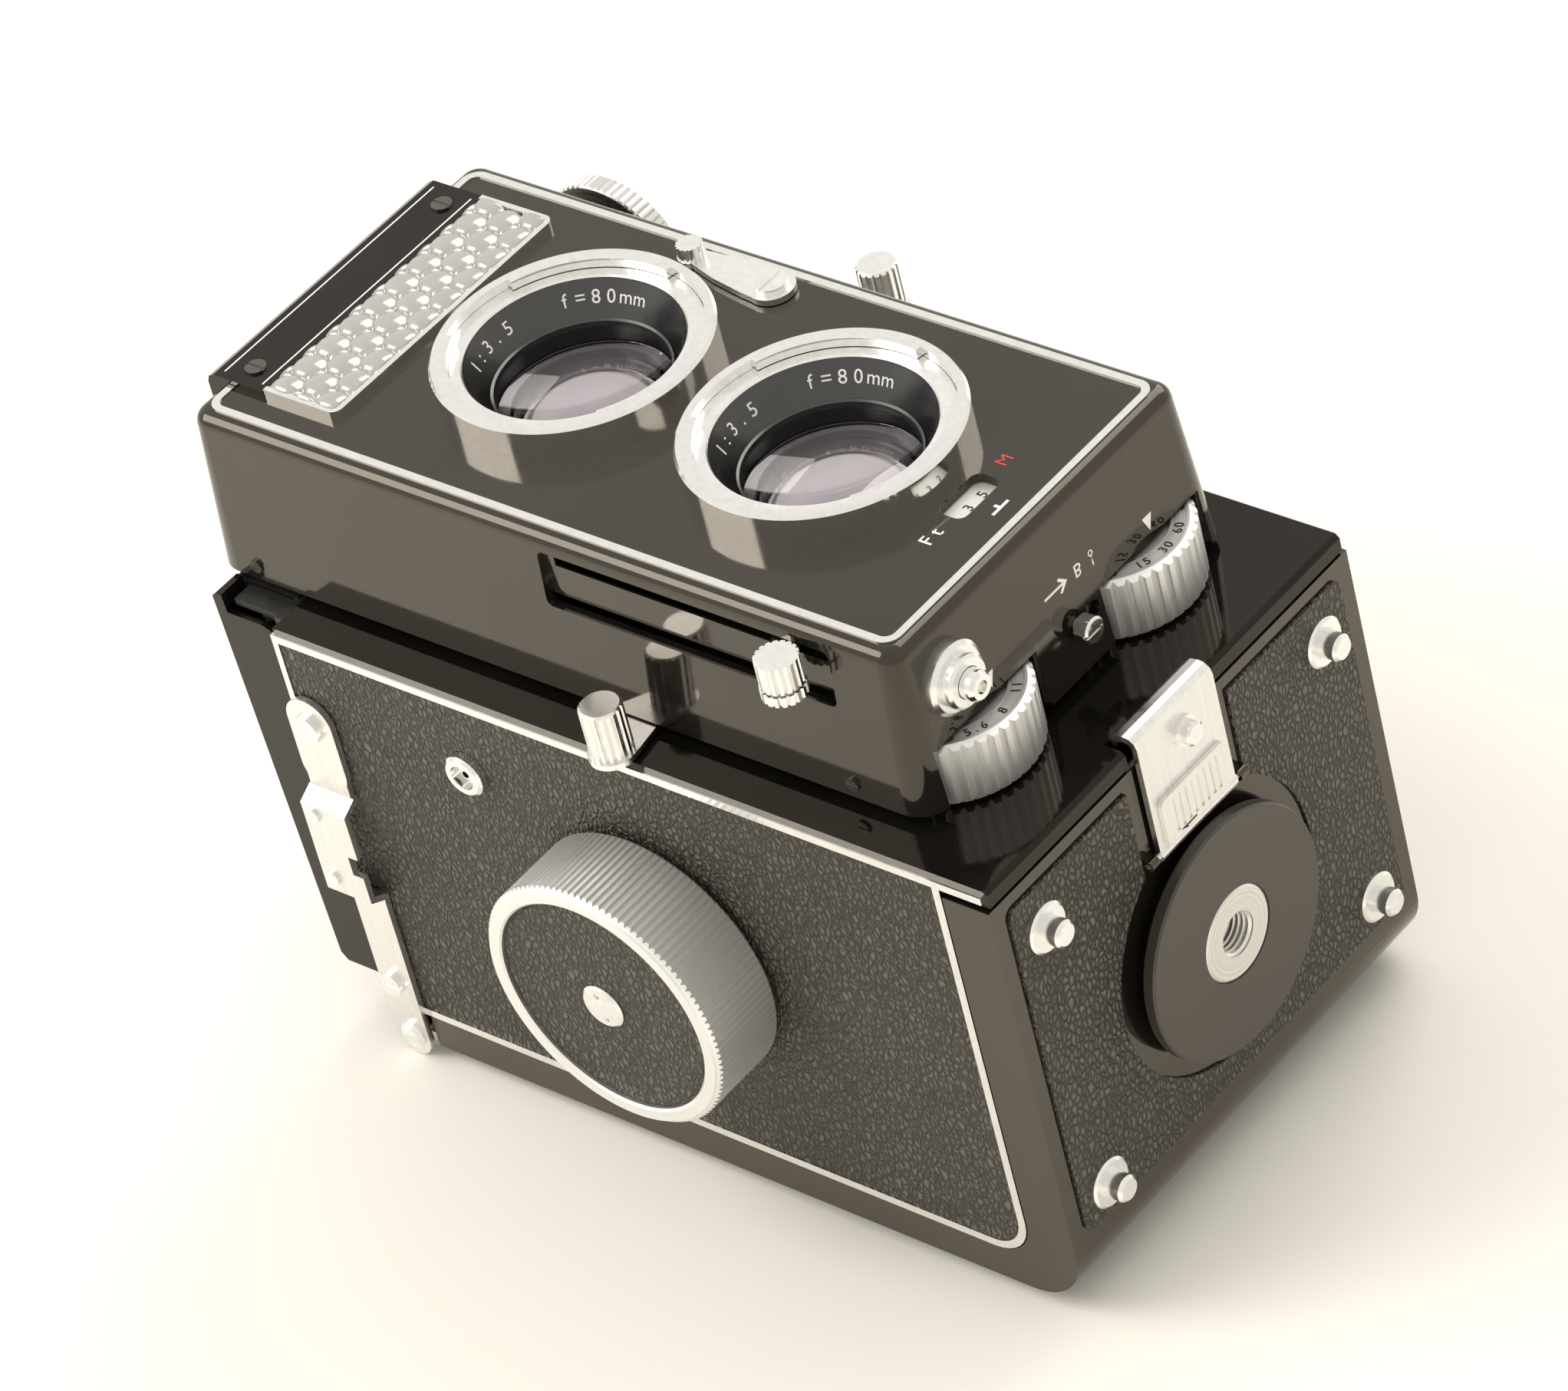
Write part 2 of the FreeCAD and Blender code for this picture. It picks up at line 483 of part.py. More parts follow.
# dial boss hole on the side
pt.append(cyl("pn_dial", "X", 20.0, 40.0, -12.9, 115.9, 2.05))
# screws of the name plate and of the sides
psc = []
for i, (x, z) in enumerate(((-19.3, 130.6), (18.9, 130.4))):
    h = cyl("ns_h%d" % i, "Y", -27.5, -27.15, x, z, 1.5)
    t = cyl("ns_t%d" % i, "Y", -27.15, -24.95, x, z, 0.75)
    kk = box("ns_k%d" % i, x - 0.2, x + 0.2, -28.0, -27.3, z - 3, z + 3)
    psc.append(cut("ns_%d" % i, fuse("ns_f%d" % i, h, t), kk))
for i, (sx, z) in enumerate(((-1, 25.2), (-1, 127.6), (1, 25.2), (1, 127.6))):
    h = cyl("pw_h%d" % i, "X", min(sx * 31.15, sx * 31.8), max(sx * 31.15, sx * 31.8), -3.6, z, 1.0)
    t = cyl("pw_t%d" % i, "X", min(sx * 30.3, sx * 31.15), max(sx * 30.3, sx * 31.15), -3.6, z, 0.6)
    kk = box("pw_k%d" % i, min(sx * 31.65, sx * 33), max(sx * 31.65, sx * 33), -3.75, -3.45, z - 3, z + 3)
    psc.append(cut("pw_%d" % i, fuse("pw_f%d" % i, h, t), kk))
node(cut("front_panel", pb, pc, *(pt + psc)), "front_panel")

# lens board across the back of the panel, with the two sleeves that reach into the body
lb_p = box("lb_p", -29.3, 29.3, -4.6, -3.3, 33.0, 133.6)
lb_s1 = cyl("lb_s1", "Y", -4.6, 11.0, 0.0, "dims.taking_z", "dims.sleeve_r")
lb_s2 = cyl("lb_s2", "Y", -4.6, 11.0, 0.0, "dims.viewing_z", "dims.sleeve_r")
lb_b1 = cyl("lb_b1", "Y", -6.0, 12.0, 0.0, "dims.taking_z", "dims.sleeve_in")
lb_b2 = cyl("lb_b2", "Y", -6.0, 12.0, 0.0, "dims.viewing_z", "dims.sleeve_in")
node(cut("lens_board", fuse("lb_f", lb_p, lb_s1, lb_s2), lb_b1, lb_b2), "lens_board")

# bright line round the panel's face, let into it and standing slightly proud
tr_o = prism("tr_o", "Y", rounded(-D["ptrim_w"] - 0.55, D["ptrim_w"] + 0.55, MID - D["ptrim_h"] - 0.55, MID + D["ptrim_h"] + 0.55, 2.4), -PY - 0.22, -PY)
tr_i = prism("tr_i", "Y", rounded(-D["ptrim_w"] + 0.55, D["ptrim_w"] - 0.55, MID - D["ptrim_h"] + 0.55, MID + D["ptrim_h"] - 0.55, 1.4), -PY - 1, -PY + 1)
np_zone = box("np_zone", -22.9, 22.9, -30.0, -20.0, 126.2, 140.0)
node(cut("panel_trim", tr_o, tr_i, np_zone), "panel_trim")

# name plate over the top edge of the panel (blank)
np_b = doc.addObject("PartDesign::Body", "np_body")
s = bsketch(np_b, "np_sk", "YZ_Plane", -22.8)
add_poly(s, [(-27.15, 126.3), (-20.0, 126.3), (-20.0, 136.7), (-25.6, 136.7), (-26.6, 136.3), (-27.15, 135.3)])
f = np_b.newObject("PartDesign::Pad", "np_pad")
f.Profile = s
f.Length = 45.6
np_sc = [cyl("np_h%d" % i, "Y", -28.0, -20.0, x, z, 0.75) for i, (x, z) in enumerate(((-19.3, 130.6), (18.9, 130.4)))]
node(cut("nameplate", np_b, pb, *np_sc), "nameplate")
node(group("panel_screws", *psc), "panel_screws")

# light meter window: bright frame open towards the name plate, moulded lens sheet inside
cf_o = prism("cf_o", "Y", rounded(-22.7, 22.7, 113.3, 130.0, 1.5), -PY - 1.25, -PY)
cf_i = prism("cf_i", "Y", rounded(-21.9, 21.9, 114.1, 132.0, 0.9), -PY - 3, -PY + 1)
cf_t = box("cf_t", -30.0, 30.0, -30.0, -20.0, 126.25, 140.0)
node(cut("cell_frame", cf_o, cf_i, cf_t), "cell_frame")
node(prism("cw_b", "Y", rounded(-21.85, 21.85, 114.15, 126.2, 1.0), -PY - 1.2, -PY), "cell_window")


# bayonet ring: outer wall, front lip with three entry notches
def bayonet(n, z):
    b = doc.addObject("PartDesign::Body", n)
    s = bsketch(b, n + "_sk", "XY_Plane")
    R_, H_, I_, N_ = D["bay_r"], D["bay_h"], D["bay_in"], D["bay_notch"]
    add_poly(s, [(R_, -PY), (R_, -PY - H_ + 0.5), (R_ - 0.35, -PY - H_), (I_, -PY - H_), (I_, -PY - H_ + 1.3), (N_, -PY - H_ + 1.3), (N_, -PY)])
    f = b.newObject("PartDesign::Revolution", n + "_rev")
    f.Profile = s
    f.ReferenceAxis = (s, ["V_Axis"])
    f.Angle = 360.0
    s2 = bsketch(b, n + "_nk", "XZ_Plane", PY + H_ + 1)
    a0, a1 = math.radians(69), math.radians(111)
    r0, r1 = I_ - 1.5, N_
    c = V(0, 0, 0)
    s2.addGeometry(Part.ArcOfCircle(Part.Circle(c, V(0, 0, 1), r1), a0, a1), False)
    s2.addGeometry(Part.ArcOfCircle(Part.Circle(c, V(0, 0, 1), r0), a0, a1), False)
    s2.addGeometry(Part.LineSegment(V(r0 * math.cos(a0), r0 * math.sin(a0), 0), V(r1 * math.cos(a0), r1 * math.sin(a0), 0)), False)
    s2.addGeometry(Part.LineSegment(V(r0 * math.cos(a1), r0 * math.sin(a1), 0), V(r1 * math.cos(a1), r1 * math.sin(a1), 0)), False)
    doc.recompute()
    v0 = b.Shape.Volume
    p = b.newObject("PartDesign::Pocket", n + "_pk")
    p.Profile = s2
    p.Length = 3.0
    doc.recompute()
    if abs(b.Shape.Volume - v0) < 1e-3:
        p.Reversed = True
        doc.recompute()
    pp = b.newObject("PartDesign::PolarPattern", n + "_pp")
    pp.Originals = [p]
    pp.Axis = (s, ["V_Axis"])
    pp.Angle = 360.0
    pp.Occurrences = 3
    b.Tip = pp
    doc.recompute()
    print(n, "volume", round(v0, 1), "->", round(b.Shape.Volume, 1))
    b.Placement = FreeCAD.Placement(V(0, 0, z), FreeCAD.Rotation())
    return b


node(group("bayonet_rings", bayonet("bay_v", D["viewing_z"]), bayonet("bay_t", D["taking_z"])), "bayonet_rings")

# barrels: flange on the panel, black cone down to the glass
bar = [(17.3, 0.0), (17.3, -0.9), (16.1, -0.9), (16.1, -2.9), (15.3, -2.9), (15.0, -2.4), (12.3, 1.9), (12.3, 5.9), (10.2, 5.9), (10.2, 10.0), (14.4, 10.0), (14.4, 0.0)]
node(group("lens_barrels", turned("barrel_v", "Y", [(r, -PY + a) for r, a in bar], (0, 0, D["viewing_z"])), turned("barrel_t", "Y", [(r, -PY + a) for r, a in bar], (0, 0, D["taking_z"]))), "lens_barrels")


# front elements
def glass(n, z):
    c = cyl(n + "_c", "Y", "-dims.panel_y + 2.0", "-dims.panel_y + 5.85", 0.0, z, "dims.glass_r")
    sp = doc.addObject("Part::Sphere", n + "_s")
    sp.Radius = 38.0
    sp.Placement = FreeCAD.Placement(V(0, 0, 0), FreeCAD.Rotation())
    sp.setExpression("Placement.Base.y", "-dims.panel_y + 3.4 + 38")
    sp.setExpression("Placement.Base.z", S(z))
    return common(n, c, sp)


node(group("fe_g", glass("fe_v", "dims.viewing_z"), glass("fe_t", "dims.taking_z")), "front_elements")

# shutter housing behind the taking lens, with the plate and studs that carry the two control wheels
sh_c = cyl("sh_c", "Y", -20.9, -4.65, 0.0, "dims.taking_z", 20.0)
sh_p = box("sh_p", -28.0, 28.0, -11.5, -10.4, 16.0, 31.5)
sh_s1 = cyl("sh_s1", "Y", -11.0, -0.9, "-dims.wheel_x", "dims.wheel_z", 2.0)
sh_s2 = cyl("sh_s2", "Y", -11.0, -0.9, "dims.wheel_x", "dims.wheel_z", 2.0)
sh_b = cyl("sh_b", "Y", -25.0, -3.0, 0.0, "dims.taking_z", 14.45)
node(cut("shutter_housing", fuse("sh_f", sh_c, sh_p, sh_s1, sh_s2), sh_b), "shutter_housing")

# shutter release: stepped collar screwed to the panel, button inside
rel_x, rel_y = -21.6, -17.7
rc = turned("rc_t", "Z", [(2.2, 15.6), (2.3, 15.6), (2.3, 14.6), (5.0, 14.6), (5.0, 12.9), (4.4, 12.4), (3.7, 12.4), (3.7, 11.2), (3.3, 10.8), (2.2, 10.8)], (rel_x, rel_y, 0))
node(cut("release_collar", rc, pb), "release_collar")
node(turned("release_button", "Z", [(0, 21.0), (2.12, 21.0), (2.12, 9.3), (1.7, 8.7), (0.9, 8.7), (0.9, 10.2), (0, 10.2)], (rel_x, rel_y, 0)), "release_button")

# cocking lever: ring running on the taking barrel, arm through the slit, knurled knob outside
cr = D["taking_z"]
ca = math.radians(27.8)
ring = cyl("ck_r", "Y", -22.55, -21.75, 0.0, "dims.taking_z", 21.5)
rh = cyl("ck_h", "Y", -24.0, -20.0, 0.0, "dims.taking_z", 14.55)
ux, uz = -math.cos(ca), -math.sin(ca)
nx, nz = -uz, ux
arm = []
for u, w in ((17.0, 3.0), (31.0, 2.0), (37.9, 1.9), (37.9, -1.9), (31.0, -2.0), (17.0, -3.0)):
    arm.append((u * ux + w * nx, cr + u * uz + w * nz))
armp = prism("ck_a", "Y", arm, -22.55, -21.75)
kx, kz = 37.9 * ux, cr + 37.9 * uz
kn = prism("ck_k", "Y", moved(star(2.95, 0.34, 18, 0.5), kx, kz), -24.3, -20.2)
kf = cyl("ck_f", "Y", -20.4, -19.9, kx, kz, 2.2)
kl = prism("ck_l", "Y", moved(star(3.1, 0.3, 18, 0.5), kx, kz), -19.9, -18.4)
node(fuse("cocking_lever", cut("ck_ring", ring, rh), armp, kn, kf, kl), "cocking_lever")


# aperture and speed wheels: coarse knurl, bevelled front rim carrying the scale
def wheel(n, x):
    kn = prism(n + "_k", "Y", moved(star(D["wheel_rad"], 0.62, 40, 0.42), x, D["wheel_z"]), -D["wheel_y0"], -D["wheel_y1"])
    prof = turned(n + "_p", "Y", [(2.08, -9.1), (8.2, -9.1), (8.2, -9.7), (10.7, -9.7), (11.7, -9.1), (11.7, -1.0), (11.2, -0.5), (2.08, -0.5)], (x, 0, D["wheel_z"]))
    return common(n, kn, prof)


node(wheel("aperture_wheel", -D["wheel_x"]), "aperture_wheel")
node(wheel("speed_wheel", D["wheel_x"]), "speed_wheel")

# bulb lock: slotted pin in a short slot
bl = turned("bl_t", "Z", [(0, 16.5), (1.9, 16.5), (1.9, 15.3), (1.05, 15.3), (1.05, 12.6), (1.9, 12.4), (1.9, 10.6), (1.6, 10.3), (0, 10.3)], (1.3, -8.4, 0))
bls = box("bl_s", 1.3 - 5, 1.3 + 5, -8.65, -8.15, 9.0, 10.9)
node(cut("bulb_lock", bl, bls), "bulb_lock")

# flash sync lever on the panel's face
la = []
px, pz, qx, qz = 23.2, 76.0, 24.1, 90.4
lv = prism("sl_p", "Y", [(px - 3.2, pz + 0.4), (px - 2.9, pz + 3.2), (px - 2.0, pz + 8.6), (qx - 1.5, qz - 0.9), (qx + 1.5, qz - 0.9), (px + 3.1, pz + 5.0), (px + 3.35, pz)], -27.25, -26.35)
lc = cyl("sl_c", "Y", -27.25, -26.35, px, pz, 3.3)
lk = cyl("sl_k", "Y", -27.25, -26.35, qx, qz, 2.0)
lkn = prism("sl_n", "Y", moved(star(1.85, 0.25, 16, 0.5), qx, qz), -29.2, -27.25)
lsc = cyl("sl_s", "Y", -28.05, -27.25, px, pz, 2.35)
lst = cyl("sl_t", "Y", -26.4, -24.0, px, pz, 0.9)
lsk = box("sl_kf", px - 3, px + 3, -29.0, -27.75, pz - 0.25, pz + 0.25)
node(cut("sync_lever", fuse("sl_f", lv, lc, lk, lkn, lsc, lst), lsk), "sync_lever")

# film speed dial on the panel's far side
dn = prism("fd_k", "X", moved(star(11.2, 0.35, 64, 0.45), -12.9, 115.9), 33.1, 36.2)
dp = turned("fd_p", "X", [(0, 27.5), (2.0, 27.5), (2.0, 31.5), (5.0, 31.5), (5.0, 33.1), (10.9, 33.1), (11.3, 33.4), (11.3, 35.8), (10.8, 36.2), (7.2, 36.2), (7.2, 35.7), (0, 35.7)], (0, -12.9, 115.9))
dd = turned("fd_d", "X", [(0, 27.5), (2.0, 27.5), (2.0, 31.5), (5.0, 31.5), (5.0, 34.0), (0, 34.0)], (0, -12.9, 115.9))
node(common("film_speed_dial", fuse("fd_f", dn, dd), dp), "film_speed_dial")

# distance scale: strip that slides behind the window as the lenses focus
node(box("distance_scale", -21.0, 8.0, -24.6, -24.1, 22.6, 28.2), "distance_scale")

# ---------------------------------------------------------------- focusing see-saw
th = math.radians(D["seesaw_tilt"])
c_, s_ = math.cos(th), math.sin(th)


def sw(u, w):
    return (u * c_ - w * s_, D["seesaw_z"] + u * s_ + w * c_)


AL, AR = D["arm_left"], D["arm_right"]
pl = prism("fl_p", "Y", [sw(-AL, 3.3), sw(-31.0, 4.2), sw(-16.0, 2.85), sw(16.0, 2.85), sw(31.0, 4.2), sw(AR, 3.3), sw(AR, -3.3), sw(31.0, -4.2), sw(16.0, -2.85), sw(-16.0, -2.85), sw(-31.0, -4.2), sw(-AL, -3.3)], -1.1, -0.35)
e1 = cyl("fl_e1", "Y", -1.15, -0.35, sw(-AL, 0)[0], sw(-AL, 0)[1], 3.3)
e2 = cyl("fl_e2", "Y", -1.15, -0.35, sw(AR, 0)[0], sw(AR, 0)[1], 3.3)
ph = cyl("fl_h", "Y", -3.0, 3.0, 0.0, "dims.seesaw_z", 2.06)
node(cut("focus_lever", fuse("fl_f", pl, e1, e2), ph), "focus_lever")


def fknob(n, u):
    x, z = sw(u, 0)
    kn = prism(n + "_k", "Y", moved(star(D["fknob_r"], 0.32, 18, 0.5), x, z), -8.8, -1.15)
    pr = turned(n + "_p", "Y", [(0, -8.8), (D["fknob_r"] - 0.35, -8.8), (D["fknob_r"] + 0.1, -8.4), (D["fknob_r"] + 0.1, -1.15), (0, -1.15)], (x, 0, z))
    return common(n, kn, pr)


node(group("focus_knobs", fknob("fk_l", -AL), fknob("fk_r", AR)), "focus_knobs")

# ---------------------------------------------------------------- winding knob and spools
KY, KZ, KR = D["knob_y"], D["knob_z"], D["knob_r"]
kn = prism("ak_k", "X", moved(star(KR, 0.34, 116, 0.42), KY, KZ), -D["knob_out"], -D["knob_in"])
kp = turned("ak_p", "X", [(D["shaft_r"], -50.2), (16.7, -50.2), (16.7, -51.1), (17.0, -D["knob_out"]), (18.6, -D["knob_out"]), (19.4, -50.5), (19.4, -39.5), (18.9, -39.0), (17.6, -39.0), (17.6, -47.5), (5.4, -47.5), (5.4, -39.0), (D["shaft_r"], -39.0)], (0, KY, KZ))
node(common("advance_knob", kn, kp), "advance_knob")
node(turned("knob_leather", "X", [(3.4, -50.75), (16.1, -50.75), (16.62, -50.55), (16.62, -50.2), (3.4, -50.2)], (0, KY, KZ)), "knob_leather")
cap = turned("cap_t", "X", [(0, -50.2), (3.35, -50.2), (3.35, -51.0), (3.0, -51.3), (0, -51.3)], (0, KY, KZ))
ch1 = cyl("cap_h1", "X", -52.0, -50.8, KY - 1.8, KZ + 0.4, 0.42)
ch2 = cyl("cap_h2", "X", -52.0, -50.8, KY + 1.8, KZ - 0.4, 0.42)
node(cut("knob_cap", cap, ch1, ch2), "knob_cap")
ang = math.atan2(D["spool_z"] - KZ, D["spool_y"] - KY)
GX0, GX1 = -34.4, -32.4
wg = prism("ws_g", "X", gear(48, 1.0, KY, KZ, ang), GX0, GX1)
wl = [cyl("ws_l%d" % i, "X", GX0 - 1, GX1 + 1, KY + 14.5 * math.cos(math.radians(60 * i)), KZ + 14.5 * math.sin(math.radians(60 * i)), 4.6) for i in range(6)]
wsh = cyl("ws_s", "X", -50.2, "-32.0", "dims.knob_y", "dims.knob_z", "dims.shaft_r")
node(fuse("winding_shaft", cut("ws_gc", wg, *wl), wsh), "winding_shaft")
dist = math.hypot(D["spool_z"] - KZ, D["spool_y"] - KY)
print("gear centre distance", dist)
sg = prism("sg_g", "X", gear(24, 1.0, D["spool_y"], D["spool_z"], ang + math.pi + math.pi / 24), GX0, GX1)
sgh = cyl("sg_h", "X", -36.3, GX0, "dims.spool_y", "dims.spool_z", 3.0)
sgk = box("sg_k", GX1, -30.4, "dims.spool_y - 3.2", "dims.spool_y + 3.2", "dims.spool_z - 0.8", "dims.spool_z + 0.8")
node(fuse("spool_gear", sg, sgh, sgk), "spool_gear")


# film spool: core with two flanges, key slot in each end
def spool(n, y, z):
    t = turned(n + "_t", "X", [(0, -31.6), (D["flange_r"], -31.6), (D["flange_r"], -30.8), (5.2, -30.4), (5.2, 30.4), (D["flange_r"], 30.8), (D["flange_r"], 31.6), (0, 31.6)], (0, y, z))
    a = box(n + "_a", -33.0, -28.5, y - 3.4, y + 3.4, z - 1.0, z + 1.0)
    b = cyl(n + "_b", "X", 28.5, 33.0, y, z, 2.5)
    c = cyl(n + "_c", "X", -33.0, -28.5, y, z, 2.5)
    w = box(n + "_w", -20.0, 20.0, y - 0.6, y + 0.6, z - 10.0, z + 10.0)
    return cut(n, t, a, b, c, w)


node(spool("takeup_spool", D["spool_y"], D["spool_z"]), "takeup_spool")
node(spool("supply_spool", D["supply_y"], D["supply_z"]), "supply_spool")


# spool knobs: pull out to free a spool
def pull(n, y, z):
    t = turned(n + "_t", "X", [(0, 29.0), (1.6, 29.0), (2.35, 29.8), (2.35, 32.4), (3.0, 32.4), (3.0, 38.4), (6.0, 38.4), (6.6, 39.0), (6.6, 41.6), (6.0, 42.2), (0, 42.2)], (0, y, z))
    g = prism(n + "_g", "X", moved(star(6.6, 0.3, 40, 0.45), y, z), 38.3, 43.0)
    c = cyl(n + "_c", "X", 25.0, 38.4, y, z, 5.0)
    return common(n, t, fuse(n + "_u", g, c))


node(pull("spool_knob_upper", D["spool_y"], D["spool_z"]), "spool_knob_upper")
node(pull("spool_knob_lower", D["supply_y"], D["supply_z"]), "spool_knob_lower")

# ---------------------------------------------------------------- viewing hood
HYY, HZZ = D["hood_hy"], D["hood_hz"]
top0, top1 = 133.2, 130.6
lid_o = prism("lid_o", "X", [(-0.5, 132.5), (0.1, top0), (D["hood_rear"] - 1.2, top1), (D["hood_rear"], top1 - 1.0), (D["hood_rear"], 122.9), (3.2, 122.9), (2.4, 125.0), (2.4, 131.2), (-0.5, 131.4)], -D["hood_w"], D["hood_w"])
lid_i = prism("lid_i", "X", [(-5.0, 120.0), (D["hood_rear"] - 0.9, 120.0), (D["hood_rear"] - 0.9, top1 - 1.3), (2.4, top0 - 1.35), (1.9, 131.5), (-5.0, 131.5)], -D["hood_w"] + 0.9, D["hood_w"] - 0.9)
lid_k = []
for i, sx in enumerate((-1, 1)):
    x0, x1 = sorted((sx * 27.7, sx * 31.3))
    lid_k.append(box("lid_k%d" % i, x0, x1, -2.0, 2.05, 129.0, 135.0))
lid_b = cyl("lid_b", "X", -27.7, 27.7, "dims.hood_hy", "dims.hood_hz", 0.95)
lid_h = cyl("lid_h", "X", -31.0, 31.0, "dims.hood_hy", "dims.hood_hz", 0.55)
lid_e = []
for i, sx in enumerate((-1, 1)):
    x0, x1 = sorted((sx * 5.3, sx * 6.5))
    lid_e.append(box("lid_m%d" % i, x0, x1, 33.0, 34.4, 127.5, 131.2))
    lid_e.append(cyl("lid_n%d" % i, "X", x0, x1, 33.7, 127.5, 0.7))
    x0, x1 = sorted((sx * 4.0, sx * 5.8))
    lid_e.append(cyl("lid_p%d" % i, "X", x0, x1, 33.7, 127.5, 0.4))
node(cut("hood_lid", fuse("lid_f", cut("lid_c", lid_o, lid_i), lid_b, *lid_e), lid_k[0], lid_k[1], lid_h), "hood_lid")


def flap(n, s):
    pts = [(s * 33.9, 3.0), (s * 33.9, 61.3), (s * 1.2, 61.3), (s * 1.2, 35.5)]
    leaf = prism(n + "_l", "Z", pts, 125.1, 125.7)
    bar = cyl(n + "_b", "Y", 2.8, 61.4, s * 33.9, 125.4, 0.5)
    hole = cyl(n + "_h", "Y", 0.0, 70.0, s * 33.9, 125.4, 0.35)
    return cut(n, fuse(n + "_f", leaf, bar), hole)


node(flap("hood_flap_wind", -1), "hood_flap_wind")
node(flap("hood_flap_plain", 1), "hood_flap_plain")
rf_l = prism("rf_l", "Z", [(-31.4, 62.4), (31.4, 62.4), (12.0, 41.5), (12.0, 38.4), (-12.0, 38.4), (-12.0, 41.5)], 123.7, 124.3)
rf_b = cyl("rf_b", "X", -31.6, 31.6, 62.4, 124.0, 0.5)
rf_h = cyl("rf_h", "X", -40.0, 40.0, 62.4, 124.0, 0.35)
node(cut("hood_flap_rear", fuse("rf_f", rf_l, rf_b), rf_h), "hood_flap_rear")
mg_o = prism("mg_o", "Z", rounded(-12.0, 12.0, 33.6, 58.6, 4.0), 126.6, 128.4)
mg_h = cyl("mg_h", "Z", 120.0, 135.0, 0.0, 46.6, 10.0)
mg_b = cyl("mg_b", "X", -5.0, 5.0, 33.7, 127.5, 0.9)
mg_p = cyl("mg_p", "X", -20.0, 20.0, 33.7, 127.5, 0.45)
mg_n = [box("mg_n%d" % i, x0, x1, 30.0, 34.9, 126.0, 129.0) for i, (x0, x1) in enumerate(((-13.0, -5.0), (5.0, 13.0)))]
node(cut("magnifier_frame", fuse("mg_f", mg_o, mg_b), mg_h, mg_n[0], mg_n[1], mg_p), "magnifier_frame")
ml_c = cyl("ml_c", "Z", 126.0, 129.0, 0.0, 46.6, 9.95)
ml_s = doc.addObject("Part::Sphere", "ml_s")
ml_s.Radius = 60.0
ml_s.Placement = FreeCAD.Placement(V(0, 46.6, 128.5 - 60.0), FreeCAD.Rotation())
ml_s2 = doc.addObject("Part::Sphere", "ml_s2")
ml_s2.Radius = 60.0
ml_s2.Placement = FreeCAD.Placement(V(0, 46.6, 126.4 + 60.0), FreeCAD.Rotation())
node(common("magnifier_lens", ml_c, ml_s, ml_s2), "magnifier_lens")

# ---------------------------------------------------------------- back cover
CB, CF, CW = D["cover_back"], D["cover_front"], D["cover_wall"]
SK = D["skin_w"]
bs_o = prism("bs_o", "X", side_profile(CF, CB, 0.0, 112.6, D["cover_r"], 12), -SK, SK)
bs_i = prism("bs_i", "X", side_profile(CF - 3, CB - CW, CW, 130.0, D["cover_r"] - CW, 12), -SK + 1.0, SK - 1.0)
bs_c = prism("bs_c", "X", side_profile(-5.0, BB + 0.12, BL - 1.37, 130.0, D["corner_r"] + 0.1, 12), -SK - 5, SK + 5)
kn1 = cyl("bs_k", "X", -28.8, 28.8, "dims.hinge_y", "dims.hinge_z", "dims.knuckle_r - 0.2")
kn2 = box("bs_kb", -28.8, 28.8, "dims.cover_back - 1.7", "dims.cover_back - 0.1", 111.0, "dims.hinge_z")
kn3 = cyl("bs_kc", "X", -50.0, 50.0, "dims.hinge_y", "dims.hinge_z", "dims.pin_r + 0.06")
sockc = cyl("bs_sc", "Z", -5.0, 5.0, 0.0, "dims.disc_y", "dims.bush_r")
bs_shell = cut("bs_shell", bs_o, bs_i, bs_c)
ear1 = cyl("bs_e1", "X", -10.4, -8.8, 17.6, -0.85, 0.85)
ear1b = box("bs_e1b", -10.4, -8.8, 16.75, 18.45, -0.85, 0.6)
ear2 = cyl("bs_e2", "X", 8.8, 10.4, 17.6, -0.85, 0.85)
ear2b = box("bs_e2b", 8.8, 10.4, 16.75, 18.45, -0.85, 0.6)
earh = cyl("bs_eh", "X", -15.0, 15.0, 17.6, -0.85, 0.5)
seam = D["cover_r"] + 0.5
bs_low = box("bs_low", -60.0, 60.0, -20.0, 100.0, -20.0, seam)
bs_high = box("bs_high", -60.0, 60.0, -20.0, 100.0, seam, 140.0)
node(cut("back_shell", fuse("bs_f", common("bs_up", bs_shell, bs_high), kn1, kn2), kn3), "back_shell")
node(cut("base_shell", fuse("bs_g", common("bs_dn", bs_shell, bs_low), ear1, ear1b, ear2, ear2b), sockc, earh), "base_shell")

node(prism("back_leather", "Y", rounded(-35.6, 35.6, 11.5, 108.5, 2.0), CB, CB + 0.45), "back_leather")

bl_o = prism("bl_o", "Z", rounded(-35.4, 35.4, 5.2, 60.5, 1.6), -0.4, 0.0)
bl_c = cyl("bl_c", "Z", -2.0, 2.0, 0.0, "dims.disc_y", 20.3)
bl_l = prism("bl_l", "Z", rounded(-10.8, 10.8, -2.0, 24.0, 1.5), -2.0, 2.0)
bl_f = [cyl("bl_f%d" % i, "Z", -2.0, 2.0, x, y, 2.1) for i, (x, y) in enumerate(((-29.83, 11.74), (29.83, 11.74), (-29.83, 55.79), (29.83, 55.79)))]
node(cut("base_leather", bl_o, bl_c, bl_l, *bl_f), "base_leather")


def foot(n, sx, y):
    return turned(n, "Z", [(0, 0.0), (2.05, 0.0), (2.05, -0.4), (3.55, -0.4), (3.55, -0.85), (3.2, -1.15), (2.1, -1.15), (2.1, -1.5), (1.9, -1.5), (1.9, -3.4), (1.5, -D["foot_tip"]), (0, -D["foot_tip"])], (sx * D["foot_x"], y, 0))


